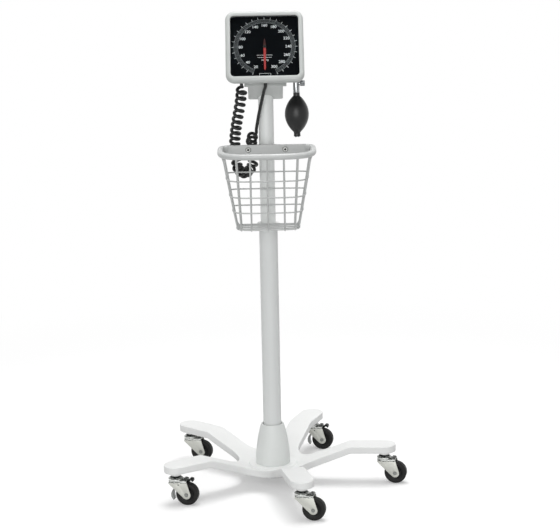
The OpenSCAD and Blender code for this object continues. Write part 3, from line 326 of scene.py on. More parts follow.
# Mesh makers
def addPiece(name, mesh, body, material, replaced=(), sharpAngle=35):
    piece = bpy.data.objects.new(name, mesh)
    scene.collection.objects.link(piece)
    mesh.name = name
    mesh.materials.clear()
    mesh.materials.append(material)
    if hasattr(mesh, "polygons"):
        shape = bmesh.new()
        shape.from_mesh(mesh)
        bmesh.ops.recalc_face_normals(shape, faces=shape.faces)
        shape.to_mesh(mesh)
        shape.free()
        mesh.shade_smooth()
        mesh.set_sharp_from_angle(angle=math.radians(sharpAngle))
    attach(piece, body)
    if replaced:
        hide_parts(*replaced)
    return piece


def meshFrom(vertices, faces, place=None):
    mesh = bpy.data.meshes.new("made")
    mesh.from_pydata([tuple(v) for v in vertices], [], faces)
    if place is not None:
        mesh.transform(place)
    return mesh


# Skin over loops of equal length. Capped, it is a solid; ringed, the last loop joins the first
def loft(loops, place=None, ringed=False):
    rows, count = len(loops), len(loops[0])
    vertices = [v for loop in loops for v in loop]
    faces = []
    for row in range(rows if ringed else rows - 1):
        low, high = row * count, (row + 1) % rows * count
        for k in range(count):
            beside = (k + 1) % count
            faces.append([low + k, low + beside, high + beside, high + k])
    if not ringed:
        faces += [list(reversed(range(count))), list(range((rows - 1) * count, rows * count))]
    return meshFrom(vertices, faces, place)


def shifted(x, y, z):
    return Matrix.Translation((x * mm, y * mm, z * mm))


nearZero = 0.01  # radius of a profile's ends on the axis, where a flat cap closes it


# Turned shape about z: profile of (radius, height) pairs in mm
def turned(profile, place=None, steps=96, ringed=False, shape=None):
    turns = [2 * math.pi * k / steps for k in range(steps)]
    loops = []
    for radius, z in profile:
        radii = [radius if shape is None else shape(radius, turn) for turn in turns]
        rim = [(r * math.cos(turn), r * math.sin(turn)) for r, turn in zip(radii, turns)]
        loops.append([Vector((x * mm, y * mm, z * mm)) for x, y in rim])
    return loft(loops, place, ringed)


# Corner of a profile as an arc: from angle a to angle b, in degrees, about (x, y)
def arc(x, y, radius, a, b, steps=6):
    turns = [math.radians(a + (b - a) * i / steps) for i in range(steps + 1)]
    return [(x + radius * math.cos(turn), y + radius * math.sin(turn)) for turn in turns]


# Rectangle with round corners in mm, at height n
def roundLoop(width, height, radius, n, perCorner=10):
    points = []
    for sx, sy, start in ((1, 1, 0), (-1, 1, 90), (-1, -1, 180), (1, -1, 270)):
        middle = sx * (width / 2 - radius), sy * (height / 2 - radius)
        points += arc(*middle, radius, start, start + 90, perCorner)
    return [Vector((x * mm, y * mm, n * mm)) for x, y in points]


def joinParts(parts, place=None):
    vertices, faces = [], []
    for some, sides in parts:
        faces += [[len(vertices) + i for i in side] for side in sides]
        vertices += some
    return meshFrom(vertices, faces, place)


def block(low, high):
    xs, ys, zs = ((a * mm, b * mm) for a, b in zip(low, high))
    corners = [Vector((x, y, z)) for z in zs for y in ys for x in xs]
    return corners, [[0, 2, 3, 1], [4, 5, 7, 6], [0, 1, 5, 4], [2, 6, 7, 3], [0, 4, 6, 2], [1, 3, 7, 5]]


def carrierOf(data):
    carrier = bpy.data.objects.new("carrier", data)
    scene.collection.objects.link(carrier)
    return carrier


def meshOf(carrier):
    mesh = bpy.data.meshes.new_from_object(carrier.evaluated_get(bpy.context.evaluated_depsgraph_get()))
    bpy.data.objects.remove(carrier)
    return mesh


# A model node's own mesh with its tessellation cleaned and its edges rounded
def softened(node, width, segments=3, angle=32):
    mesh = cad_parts[node].data.copy()
    shape = bmesh.new()
    shape.from_mesh(mesh)
    bmesh.ops.remove_doubles(shape, verts=shape.verts, dist=2e-6)
    bmesh.ops.dissolve_limit(shape, angle_limit=math.radians(1), verts=shape.verts, edges=shape.edges)
    shape.to_mesh(mesh)
    shape.free()
    carrier = carrierOf(mesh)
    rounding = carrier.modifiers.new("rounding", "BEVEL")
    rounding.width = width * mm
    rounding.segments = segments
    rounding.limit_method = "ANGLE"
    rounding.angle_limit = math.radians(angle)
    rounding.harden_normals = False
    return meshOf(carrier)


# A model node's mesh remade in small quads and smoothed, for a casting whose edges are all soft
def remade(node, voxel, rounds):
    carrier = carrierOf(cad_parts[node].data.copy())
    quads = carrier.modifiers.new("quads", "REMESH")
    quads.mode = "VOXEL"
    quads.voxel_size = voxel * mm
    ease = carrier.modifiers.new("ease", "SMOOTH")
    ease.factor = 0.5
    ease.iterations = rounds
    return meshOf(carrier)


def tubeCurve(lines, radius, rounding=3):
    curve = bpy.data.curves.new("made", "CURVE")
    curve.dimensions = "3D"
    curve.bevel_depth = radius * mm
    curve.bevel_resolution = rounding
    curve.use_fill_caps = True
    for points, ringed in lines:
        spline = curve.splines.new("POLY")
        spline.points.add(len(points) - 1)
        spline.points.foreach_set("co", [c for x, y, z in points for c in (x * mm, y * mm, z * mm, 1)])
        spline.use_cyclic_u = ringed
        spline.use_smooth = True
    return curve


# Hose: a curly lead that hangs behind the basket and comes back up, then a plain run to the case
hose = {
    "diameter": 7,
    "coilRadius": 9.2,
    "pitch": 12,
    "turns": 26,
    "pointsPerTurn": 28,
    "opening": 0.5,  # turns over which the first curl opens
    "closing": 0.8,  # turns over which the last curl closes
    "easeRounds": 8,
    "easeCase": (1, 18),  # points eased at the case's end
    "easeJoint": (-22, 16),  # and to both sides of the joint
    "portY": -59.17,
    "portZ": 913.99,
    "drop": 8,  # straight out of each port
    "bend": (18.2, 21, 27.8),
    "bendAt": (-48, 10, 738),
    # pitch along the route: open near the case, closed on the way down, open again near the joint
    "stretch": ((0, 1.18), (4, 1.18), (6, 1.1), (8, 1.03), (10, 0.94), (11, 0.93), (12, 0.99), (22, 1.02),
                (24, 1.12)),
    "samples": 240,
    "leadSteps": 4,
    "plainSteps": 96,
}
jointPlace = Vector((-21.8, -5.5, 803.5))
jointWay = Vector((0.05, -0.45, 0.89)).normalized()
coilTop = Vector((-51, hose["portY"], hose["portZ"]))
hoseTop = Vector((0, hose["portY"], hose["portZ"]))
drop = Vector((0, 0, hose["drop"]))
bendX, bendY, bendZ = hose["bend"]
coilRoute = (
    [coilTop, coilTop - drop]
    + [Vector(p) for p in ((-51.6, -53.5, 894), (-53.6, -46, 878), (-56.5, -40, 861), (-60, -34.5, 843),
                           (-63.6, -28, 824), (-66.6, -21, 805), (-68.8, -15, 786), (-69.2, -11.6, 767),
                           (-68, -11, 750))]
    + [Vector(hose["bendAt"]) + Vector((bendX * math.cos(a), bendY * math.cos(a), bendZ * math.sin(a)))
       for a in map(math.radians, range(180, 361, 20))]
    + [Vector(p) for p in ((-29.8, 28.2, 752), (-30.8, 22, 765), (-33, 14.5, 777), (-31.6, 5.6, 788))]
    + [jointPlace - hose["diameter"] * jointWay, jointPlace]
)
hoseRoute = (
    [jointPlace, jointPlace + hose["diameter"] * jointWay]
    + [Vector(p) for p in ((-18.6, -16.5, 826), (-15.8, -22.5, 841), (-12.9, -28.5, 854.5), (-9.8, -35, 868.5),
                           (-6.5, -42, 882), (-3.4, -48.5, 895.5))]
    + [hoseTop - drop, hoseTop]
)


# Smooth curve through the route's points, at point number t
def routeAt(route, t):
    i = min(int(t), len(route) - 2)
    f = t - i
    a, b, c, d = route[max(i - 1, 0)], route[i], route[i + 1], route[min(i + 2, len(route) - 1)]
    square, cube = (2 * a - 5 * b + 4 * c - d) * f * f, (3 * b - a - 3 * c + d) * f * f * f
    return 0.5 * (2 * b + (c - a) * f + square + cube)


# Value at x from a table of (x, value) pairs in rising order
def lookUp(x, table):
    for (x0, y0), (x1, y1) in zip(table, table[1:]):
        if x <= x1:
            return y0 + (y1 - y0) * max(0, x - x0) / (x1 - x0)
    return table[-1][1]


def coilPoints():
    samples, last = hose["samples"], len(coilRoute) - 1
    line = [routeAt(coilRoute, last * i / samples) for i in range(samples + 1)]
    run, wound = [0], [0]
    for i in range(samples):
        step = (line[i + 1] - line[i]).length
        run.append(run[-1] + step)
        wound.append(wound[-1] + step / hose["pitch"] / lookUp(last * (i + 0.5) / samples, hose["stretch"]))
    placeByRun = [(run[i], last * i / samples) for i in range(samples + 1)]
    woundByRun, runByWound = list(zip(run, wound)), list(zip(wound, run))

    def axis(s):
        return routeAt(coilRoute, lookUp(s, placeByRun))

    total, lead = run[-1], hose["diameter"]
    first, last = lookUp(lead, woundByRun), lookUp(total - lead, woundByRun)
    steps = hose["turns"] * hose["pointsPerTurn"]
    leads = [lead * f / hose["leadSteps"] for f in range(hose["leadSteps"])]
    points = [axis(s) for s in leads]
    for k in range(steps + 1):
        s = lookUp(first + (last - first) * k / steps, runByWound)
        way = (axis(min(s + 1, total)) - axis(max(s - 1, 0))).normalized()
        side = (Vector((0, 1, 0)) - way.y * way).normalized()
        turn = 2 * math.pi * k / hose["pointsPerTurn"]
        ends = min(k / hose["opening"], (steps - k) / hose["closing"]) / hose["pointsPerTurn"]
        swell = 1 if ends >= 1 else math.sin(math.pi / 2 * ends)
        out = math.cos(turn) * way.cross(side) + math.sin(turn) * side
        points.append(axis(s) + hose["coilRadius"] * swell * out)
    return points + [axis(total - s) for s in leads[:0:-1]]


# Rounds of averaging ease the creases where the curls begin and end
def eased(points, low, high):
    for _ in range(hose["easeRounds"]):
        beside = zip(points[low - 1 :], points[low:high], points[low + 1 :])
        points = points[:low] + [(a + 2 * b + c) / 4 for a, b, c in beside] + points[high:]
    return points


curls = coilPoints()
plainSteps = hose["plainSteps"]
plainRun = [routeAt(hoseRoute, (len(hoseRoute) - 1) * i / plainSteps) for i in range(plainSteps + 1)]
hoseLine = eased(curls + plainRun, *hose["easeCase"])
hoseLine = eased(hoseLine, *(len(curls) + n for n in hose["easeJoint"]))
hoseCurve = tubeCurve([(hoseLine, False)], hose["diameter"] / 2, 5)
hosePiece = addPiece("hose", hoseCurve, "stand", hoseRubber, ("coil_hose", "straight_hose"))

# Base casting, hub cover and pole
baseMesh = remade("base_casting", 1.3, 4)
addPiece("baseCasting", baseMesh, "stand", powderCoat, ("base_casting",), sharpAngle=60)

cover = {
    "foot": 38.5, "top": 25.5, "low": 47, "high": 139, "bore": 21.9, "wall": 3, "edge": 1.6, "boreEdge": 0.8,
    "flare": 2.15,  # a higher power keeps the bell slim for longer
    "steps": 40,
}


def coverRadius(f):
    return cover["top"] + (cover["foot"] - cover["top"]) * (1 - f ** cover["flare"])


coverHeight = cover["high"] - cover["low"]
outside = [
    (coverRadius(f / cover["steps"]), cover["low"] + coverHeight * f / cover["steps"])
    for f in range(1, cover["steps"] - 1)
]
inside = [(max(r - cover["wall"], cover["bore"]), z) for r, z in reversed(outside)]
edge, boreEdge = cover["edge"], cover["boreEdge"]
coverProfile = (
    [(coverRadius(0) + 0.2, cover["low"]), (coverRadius(0) + 0.1, cover["low"] + 1)]
    + outside
    + arc(cover["top"] - edge, cover["high"] - edge, edge, 0, 90)
    + arc(cover["bore"] + boreEdge, cover["high"] - boreEdge, boreEdge, 90, 180, 4)
    + inside
    + [(cover["foot"] - cover["wall"], cover["low"])]
)
addPiece("hubCover", turned(coverProfile, steps=128, ringed=True), "stand", coverAbs, ("hub_cover",))

tube = {"lower": 20.3, "upper": 16.5, "wall": 2, "foot": 25, "joint": 590, "upperFoot": 520, "top": 936,
        "footEdge": 0.3, "topEdge": 0.6}
tubes = (
    ("poleLower", tube["lower"], tube["foot"], tube["joint"], tubeCoat, "pole_lower"),
    ("poleUpper", tube["upper"], tube["upperFoot"], tube["top"], upperTubePaintedLightCoat, "pole_upper"),
)
for name, radius, low, high, finish, node in tubes:
    bore, footEdge, topEdge = radius - tube["wall"], tube["footEdge"], tube["topEdge"]
    profile = [(bore, low), (radius - footEdge, low), (radius, low + footEdge)]
    profile += [(radius, low + (high - low) * i / 8) for i in range(1, 8)]
    profile += [(radius, high - topEdge), (radius - topEdge, high), (bore, high)]
    addPiece(name, turned(profile, ringed=True), "stand", finish, (node,))

collar = {"radius": 25, "low": 585, "high": 600, "edge": 2, "lowEdge": 1, "bore": 16.55, "boreEdge": 0.6,
          "lowerBore": 20.35, "step": 590}
radius, low, high, bore, step = (collar[k] for k in ("radius", "low", "high", "bore", "step"))
edge, lowEdge, boreEdge = (collar[k] for k in ("edge", "lowEdge", "boreEdge"))
collarProfile = (
    [(collar["lowerBore"], low)]
    + arc(radius - lowEdge, low + lowEdge, lowEdge, -90, 0, 4)
    + arc(radius - edge, high - edge, edge, 0, 90)
    + [(bore + boreEdge, high), (bore, high - boreEdge), (bore, step), (collar["lowerBore"], step)]
)
addPiece("poleCollar", turned(collarProfile, ringed=True), "stand", powderCoat, ("pole_collar",))
print("base and pole made")

# Basket: a thick rim bar and back plate, with thin wires hung from them. A share runs from 0 at the rim to 1
# at the floor
basket = {
    "rimRadius": 6.5,
    "rimHeight": 770.5,
    "rimHalf": 99.5,
    "rimFront": -163.5,
    "rimBowl": 3.5,
    "rimArc": (120, 420),  # degrees, open behind the back plate
    "rimSteps": 260,
    "back": -28.5,
    "rimTop": 777,
    "depth": 178,
    "floorHalf": 68,
    "floorFront": -96.5,
    "bulge": 2.2,
    "bowl": 4.6,  # a higher power makes the corners squarer
    "backBowl": 9,
    "backShare": 0.3,  # of the depth lies behind the widest place
    "ringSteps": 240,
    "rows": (0.334, 0.541, 0.743, 1),
    "uprights": ((0.362, 0.362), (0.663, 0.583)),  # from the middle, at the rim and at the floor
    "sides": (0.17, 0.45, 0.73),
    "wire": 1.6,
    "inset": 2.4,
    "lift": 2.8,
    "plate": (-93.5, -31, 751, 93.5, -26, 777),
    "screws": 80,
    "screwDrop": 10.5,
}


def bowlMiddle(front):
    return basket["back"] - basket["backShare"] * (basket["back"] - front)


def superLoop(half, front, turn, power):
    middle = bowlMiddle(front)
    c, s = math.cos(turn), math.sin(turn)
    bend = 2 / basket["backBowl"] if s > 0 else 2 / power
    reach = basket["back"] - middle if s > 0 else middle - front
    return half * math.copysign(abs(c) ** bend, c), middle + reach * math.copysign(abs(s) ** bend, s)


def basketHalf(f):
    return basket["floorHalf"] + (basket["rimHalf"] - 2 - basket["floorHalf"]) * (1 - f)


def basketFront(f):
    return basket["rimFront"] + (basket["floorFront"] - basket["rimFront"]) * f ** basket["bulge"]


def basketLevel(f):
    return basket["rimTop"] - basket["depth"] * f


def frontAt(x, half, front, power):
    middle = bowlMiddle(front)
    return middle - (middle - front) * max(0, 1 - (abs(x) / half) ** power) ** (1 / power)


def sideAt(share, f):
    return basket["back"] + share * (basketFront(f) - basket["back"])


# A bent wire: each corner of the line becomes a small arc
def bentWire(points, radius, steps=5):
    points = [Vector(p) for p in points]
    line = [points[0]]
    for a, b, c in zip(points, points[1:], points[2:]):
        near = min(radius, (a - b).length * 0.45, (c - b).length * 0.45)
        start, end = b + (a - b).normalized() * near, b + (c - b).normalized() * near
        shares = [i / steps for i in range(steps + 1)]
        line += [(1 - t) ** 2 * start + 2 * t * (1 - t) * b + t * t * end for t in shares]
    return line + [points[-1]]


bowl, rows, inset, lift, back = (basket[k] for k in ("bowl", "rows", "inset", "lift", "back"))
floorHalf, bottom = basket["floorHalf"], basketLevel(1)
wires = []
for share in rows:  # rings
    height = basketLevel(share) + (lift if share == 1 else 0)
    turns = [2 * math.pi * i / basket["ringSteps"] for i in range(basket["ringSteps"])]
    ring = [(*superLoop(basketHalf(share), basketFront(share), turn, bowl), height) for turn in turns]
    wires.append((ring, True))
uprights = [(0, 0)] + [
    (s * a * basket["rimHalf"], s * b * basket["rimHalf"]) for s in (-1, 1) for a, b in basket["uprights"]
]
for topX, floorX in uprights:  # from the back plate down, under the floor and up the front
    rising = []
    for f in (0.9, 0.82, rows[2], 0.65, rows[1], 0.44, rows[0], 0.22, 0.12):
        x = topX + (floorX - topX) * f
        rising.append((x, frontAt(x, basketHalf(f), basketFront(f), bowl) + inset, basketLevel(f)))
    frontY = frontAt(floorX, basketHalf(1), basketFront(1), bowl) + inset
    rimY = frontAt(topX, basket["rimHalf"], basket["rimFront"], basket["rimBowl"]) + 3
    line = [(topX, back - inset, basket["plate"][2] + 3), (floorX, back - inset, bottom + 8),
            (floorX, back - inset, bottom), (floorX, frontY, bottom), *rising,
            (topX, rimY, basket["rimHeight"])]
    wires.append((bentWire(line, 4), False))
for share in basket["sides"]:  # down one side, across the floor and up the other
    falling = [(3 - basket["rimHalf"], sideAt(share, 0.04), basket["rimHeight"])]
    falling += [(-basketHalf(f) + inset, sideAt(share, f), basketLevel(f))
                for f in (0.12, 0.22, rows[0], 0.44, rows[1], rows[2], 0.85, 0.93)]
    falling += [(-floorHalf + inset, sideAt(share, 1), bottom + 7.5),
                (-floorHalf + inset + 4, sideAt(share, 1), bottom + lift - 0.4)]
    wires.append((bentWire(falling + [(-x, y, z) for x, y, z in reversed(falling)], 5), False))
addPiece("basketWires", tubeCurve(wires, basket["wire"]), "stand", dipCoat, ("wire_basket",))

rimStart, rimEnd = basket["rimArc"]
rimPoints = []
for i in range(basket["rimSteps"] + 1):
    turn = math.radians(rimStart + (rimEnd - rimStart) * i / basket["rimSteps"])
    place = superLoop(basket["rimHalf"], basket["rimFront"], turn, basket["rimBowl"])
    rimPoints.append((*place, basket["rimHeight"]))
rimCurve = tubeCurve([(rimPoints, False)], basket["rimRadius"], 8)
addPiece("basketRim", rimCurve, "stand", dipCoat, ("basket_rim",))
x0, y0, z0, x1, y1, z1 = basket["plate"]
plateLoops = []
for n, pull in ((y0, 1), (y0 + 0.3, 0.3), (y0 + 1, 0), (y1 - 1, 0), (y1 - 0.3, 0.3), (y1, 1)):
    outline = roundLoop(x1 - x0 - 2 * pull, z1 - z0 - 2 * pull, 3, 0, 4)
    plateLoops.append([Vector((v.x, n * mm, v.y + (z0 + z1) / 2 * mm)) for v in outline])
addPiece("basketPlate", loft(plateLoops), "stand", dipCoat)
washerProfile = [(4.2, 0.02), (6.1, 0.02), (6.4, 0.3), (6.2, 0.7), (5.6, 0.95), (4.2, 0.95)]
# Drive: a black disc on each screw head, painted shade standing in for the shade in the screw's drive
driveShadeProfile = [(nearZero, 2.2), (2.3, 2.2), (2.5, 2.3), (2.3, 2.48), (1.4, 2.44), (nearZero, 2.42)]
screwLevel = basket["rimTop"] - basket["screwDrop"]
for part, profile, finish in (("Washer", washerProfile, boltSteel), ("DrivePaintedShade", driveShadeProfile, hubNylon)):
    for side, way in (("Left", -1), ("Right", 1)):
        place = shifted(way * basket["screws"] / 2, y0, screwLevel) @ Matrix.Rotation(math.pi / 2, 4, "X")
        mesh = turned(profile, place, 40, ringed=part == "Washer")
        addPiece("basketScrew" + part + side, mesh, "stand", finish)
addPiece("basketBracket", softened("basket_bracket", 0.8), "stand", screwSteel, ("basket_bracket",))
print("basket made")

# Gauge head: its own frame has x across the dial, y up it and z out of it
headFrame = shifted(0, -49, 993.5) @ Matrix.Rotation(math.radians(58), 4, "X")
head = {
    "width": 167, "height": 167, "corner": 19, "depth": 13, "roll": 6.5,
    "windowWidth": 146, "windowHeight": 143, "windowCorner": 8, "lip": 3.2,
    "caseWidth": 150, "caseTop": 70, "caseLow": -64, "caseBack": -41, "flange": 3, "caseRoll": 5,
}


def bezelLoops():
    w, h, r, roll = head["width"], head["height"], head["corner"], head["roll"]
    ww, wh, wr = head["windowWidth"], head["windowHeight"], head["windowCorner"]
    depth, lip = head["depth"], head["lip"]
    loops = [(w - 1.6, h - 1.6, r - 0.8, -depth), (w - 0.4, h - 0.4, r - 0.2, -depth + 0.5),
             (w, h, r, -depth + 1.6), (w, h, r, -roll - 1)]
    for i in range(1, 9):  # the outer edge rolls over
        a = math.radians(90 * i / 8)
        pull = roll * (1 - math.cos(a))
        loops.append((w - 2 * pull, h - 2 * pull, r - pull, -roll + roll * math.sin(a) - 0.02 * i))
    loops += [(ww + 4, wh + 4, wr + 2, -0.1), (ww + 1.6, wh + 1.6, wr + 0.8, -0.35),
              (ww + 0.5, wh + 0.5, wr + 0.25, -0.95), (ww, wh, wr, -1.8), (ww, wh, wr, -lip),
              (ww + 4, wh + 4, wr + 2, -lip - 0.05), (ww + 4, wh + 4, wr + 2, -depth)]
    return [roundLoop(*loop) for loop in loops]


addPiece("bezel", loft(bezelLoops(), headFrame, ringed=True), "stand", bezelAbs, ("bezel",))


# The case seats inside the bezel, steps in behind its flange and rolls over at the back
def caseLoops():
    w, h, depth, caseRoll = head["width"], head["height"], head["depth"], head["caseRoll"]
    cw, ch = head["caseWidth"], head["caseTop"] - head["caseLow"]
    flange, shift = depth + head["flange"], (head["caseTop"] + head["caseLow"]) / 2
    loops = [(w - 8, h - 8, 15.5, -depth - 0.02, 0), (w - 7, h - 7, 16, -depth - 0.6, 0),
             (w - 7, h - 7, 16, -flange + 0.8, 0), (w - 8.6, h - 8.6, 15.2, -flange, 0),
             (cw + 1.4, ch + 1.4, 14.7, -flange - 0.02, shift), (cw, ch, 14, -flange - 1.2, shift)]
    for i in range(9):
        a = math.radians(90 * i / 8)
        pull = caseRoll * (1 - math.cos(a))
        back = head["caseBack"] + caseRoll - caseRoll * math.sin(a)
        loops.append((cw - 0.8 - 2 * pull, ch - 0.8 - 2 * pull, 13.6 - pull, back, shift))
    return [[p + Vector((0, up * mm, 0)) for p in roundLoop(w, h, r, n)] for w, h, r, n, up in loops]


addPiece("rearCase", loft(caseLoops(), headFrame), "stand", bezelAbs, ("rear_case",))
addPiece("headBracket", softened("head_bracket", 1.4), "stand", bracketCoat, ("head_bracket",))

# Dial print: 1.125 degrees for each mmHg, zero straight down. Lines under 0.4 mm are drawn 0.6 mm wide, or
# they would not show
dial = {"step": 1.125, "from": 20, "to": 300, "band": (57, 66), "long": 70.5, "level": -8.98, "ink": 0.05,
        "numbers": 51, "numberHeight": 6.6, "fine": 0.62, "bold": 0.7, "arc": 0.6}
capitalShare = 0.73  # of a letter's size is the height of a capital


def dialPlace(pressure, radius):
    turn = math.radians(dial["step"] * pressure)
    return -radius * math.sin(turn), -radius * math.cos(turn), turn


def tick(pressure, inner, outer, width):
    x0, y0, turn = dialPlace(pressure, inner)
    x1, y1, turn = dialPlace(pressure, outer)
    dx, dy = math.cos(turn) * width / 2, -math.sin(turn) * width / 2
    corners = [(x0 - dx, y0 - dy), (x0 + dx, y0 + dy), (x1 + dx, y1 + dy), (x1 - dx, y1 - dy)]
    levels = dial["level"], dial["level"] + dial["ink"]
    points = [Vector((x * mm, y * mm, n * mm)) for n in levels for x, y in corners]
    return points, [[3, 2, 1, 0], [4, 5, 6, 7], [0, 1, 5, 4], [1, 2, 6, 5], [2, 3, 7, 6], [3, 0, 4, 7]]


def lettering(words, height, x, y):
    curve = bpy.data.curves.new("lettering", "FONT")
    curve.body = words
    curve.size = height * mm / capitalShare
    curve.align_x = "CENTER"
    curve.align_y = "CENTER"
    curve.resolution_u = 4
    curve.extrude = dial["ink"] / 2 * mm
    curve.offset = 0.004 * height * mm  # a little bolder
    carrier = carrierOf(curve)
    bpy.context.view_layer.update()
    mesh = meshOf(carrier)
    shift = Vector((x * mm, y * mm, (dial["level"] + dial["ink"] / 2) * mm))
    return [v.co + shift for v in mesh.vertices], [list(p.vertices) for p in mesh.polygons]


bandIn, bandOut = dial["band"]
fineTicks = [tick(p, bandIn, bandOut, dial["fine"]) for p in range(dial["from"], dial["to"] + 1, 2)]
longTicks = [tick(p, bandOut - 2, dial["long"], dial["bold"]) for p in range(dial["from"], dial["to"] + 1, 10)]
arcLines = [
    tick(p + 1, radius, radius + dial["arc"], 2 * math.sin(math.radians(dial["step"])) * radius)
    for radius in (bandIn, bandOut - dial["arc"])
    for p in range(dial["from"], dial["to"], 2)
]
numbers = [
    lettering(str(p), dial["numberHeight"], *dialPlace(p, dial["numbers"])[:2])
    for p in range(dial["from"], dial["to"] + 1, 20)
]
unit = lettering("mmHg", 4.2, 0, -31)
addPiece("dialTicks", joinParts(fineTicks + arcLines, headFrame), "stand", dimInk)
addPiece("dialPrint", joinParts(longTicks + numbers + [unit], headFrame), "stand", whiteInk)


# An inked bar on the dial, from x0 to x1 and y0 to y1
def inked(x0, x1, y0, y1):
    return block((x0, y0, dial["level"]), (x1, y1, dial["level"] + dial["ink"]))


# Small dashes in two rows, and a box round the zero
smallPrint = {"dash": 2.4, "pitch": 3.4, "height": 0.9, "rows": ((-17, -19.5, 10), (-15.3, -25, 9)),
              "box": (12, -68.4, -62.6), "boxLine": 0.5}
half, line = smallPrint["height"] / 2, smallPrint["boxLine"] / 2
boxX, boxLow, boxHigh = smallPrint["box"]
zeroBox = [inked(-boxX, boxX, y - line, y + line) for y in (boxLow, boxHigh)]
zeroBox += [inked(x - line, x + line, boxLow - line, boxHigh + line) for x in (-boxX, boxX)]
finePrint = [
    inked(x + i * smallPrint["pitch"], x + smallPrint["dash"] + i * smallPrint["pitch"], y - half, y + half)
    for x, y, count in smallPrint["rows"]
    for i in range(count)
]
addPiece("dialSmallPrint", joinParts(zeroBox + finePrint, headFrame), "stand", whiteInk)

# Pointer: a red lance with a dark tail, its edges turned down
pointer = {
    "level": -7.6,
    "blade": [(2.5, 0), (2.5, -12), (1.9, -52), (0, -56), (-1.9, -52), (-2.5, -12), (-2.5, 0)],
    "tail": [(2.6, 0), (2.9, 5), (0.9, 18.4), (-0.9, 18.4), (-2.9, 5), (-2.6, 0)],
    "press": ((0, 1), (0.45, 1), (0.62, 0.93), (0.7, 0.8)),  # rise, and the width kept there
    "capRadius": 3.4,
    "capHeight": 2.1,
    "capEdge": 0.6,
}
for name, outline, finish in (("Blade", "blade", needlePaint), ("Tail", "tail", tailPaint)):
    loops = [
        [Vector((x * keep * mm, y * (1 - (1 - keep) * 0.1) * mm, (pointer["level"] + rise) * mm))
         for x, y in pointer[outline]]
        for rise, keep in pointer["press"]
    ]
    mesh = loft(loops, headFrame)
    addPiece("pointer" + name, mesh, "pointer", finish, ("pointer",) if name == "Blade" else ())
capFoot, capRadius, capEdge = pointer["level"], pointer["capRadius"], pointer["capEdge"]
shoulder = capFoot + 1.4
capProfile = [(nearZero, capFoot), (capRadius, capFoot), (capRadius, shoulder)]
capProfile += arc(capRadius - capEdge, shoulder, capEdge, 0, 90, 4)
capProfile += [(nearZero, capFoot + pointer["capHeight"])]
addPiece("pointerCap", turned(capProfile, headFrame, 40), "pointer", hubNylon)
print("gauge head made")

# Bulb and its valve
bulb = {"x": 66, "y": -59.17, "top": 892.2, "foot": 798.2, "radius": 25.4, "neck": 7, "bore": 3.2,
        "length": 88, "fullness": 0.85, "mouldLine": 0.35, "mouldLineTurn": 0.035}
bulbPlace = shifted(bulb["x"], bulb["y"], 0)
neck, foot, top = bulb["neck"], bulb["foot"], bulb["top"]


# Two mould lines, one each side, stand a little proud of the skin
def mouldLine(radius, turn):
    height = bulb["mouldLine"] * (radius > neck + 0.5)
    return radius + height * math.exp(-((math.sin(turn) / bulb["mouldLineTurn"]) ** 2))


bodyProfile = []
for i in range(1, 60):
    f = i / 60
    swell = bulb["radius"] * max(1 - (2 * f - 1) ** 2, 0) ** bulb["fullness"]
    bodyProfile.append((max(swell, neck), top - 2 - bulb["length"] * f))
bulbProfile = (
    [(bulb["bore"], top)]
    + arc(neck - 0.9, top - 0.9, 0.9, 90, 0, 4)
    + bodyProfile
    + [(neck, foot + 2.2), (neck + 0.5, foot + 1.4), (neck + 0.4, foot + 0.5), (neck - 0.6, foot),
       (bulb["bore"], foot)]
)
addPiece("bulb", turned(bulbProfile, bulbPlace, 160, shape=mouldLine), "stand", bulbRubber, ("bulb",))

valve = {"radius": 7, "top": 919.2, "port": 4, "stem": 3.4, "stemDepth": 9, "portLength": 13, "groove": 0.5,
         "knobHeight": 912.2}
vr, vt = valve["radius"], valve["top"]
valveProfile = (
    [(nearZero, top - valve["stemDepth"]), (valve["stem"], top - valve["stemDepth"]), (valve["stem"], top)]
    + arc(vr - 0.8, top + 0.8, 0.8, -90, 0, 4)
    + [(vr, top + 3.2), (vr - valve["groove"], top + 3.6), (vr - valve["groove"], top + 4.4), (vr, top + 4.8),
       (vr, vt - 14), (vr, vt - 4)]
    + arc(vr - 1, vt - 1, 1, 0, 90, 4)
    + [(valve["port"], vt), (valve["port"], vt + valve["portLength"]), (nearZero, vt + valve["portLength"])]
)
addPiece("valveBody", turned(valveProfile, bulbPlace, 72), "stand", valveChromePaintedReflections, ("valve_body",))
knobPlace = shifted(bulb["x"], bulb["y"], valve["knobHeight"]) @ Matrix.Rotation(math.pi / 2, 4, "Y")
seatProfile = [(nearZero, 4), (4, 4), (4, 7.4)] + arc(3.6, 7.4, 0.4, 0, 90, 3)
seatProfile += [(1.6, 7.8), (1.6, 4.5), (nearZero, 4.5)]
addPiece("valveSeat", turned(seatProfile, knobPlace, 48), "stand", chrome)

knob = {"radius": 6, "near": 8, "far": 18, "edge": 1.1, "flutes": 16, "fluteDepth": 0.42}


# Straight knurl: rounded flutes that fade at the rims
def knurl(radius, turn):
    deep = max(0, min(1, radius - 4.8))
    return radius - knob["fluteDepth"] * deep * (0.5 + 0.5 * math.cos(knob["flutes"] * turn)) ** 2


rim, edge = knob["radius"] - knob["edge"], knob["edge"]
knobProfile = (
    [(nearZero, 7), (1.5, 7), (1.5, knob["near"]), (3, knob["near"])]
    + arc(rim, knob["near"] + edge, edge, -90, 0, 5)
    + arc(rim, knob["far"] - edge, edge, 0, 90, 5)
    + [(3.2, knob["far"]), (2.4, knob["far"] - 0.4), (nearZero, knob["far"] - 0.4)]
)
knobMesh = turned(knobProfile, knobPlace, 128, shape=knurl)
addPiece("valveKnob", knobMesh, "valve_knob", knobChrome, ("valve_screw",))
print("bulb and valve made")

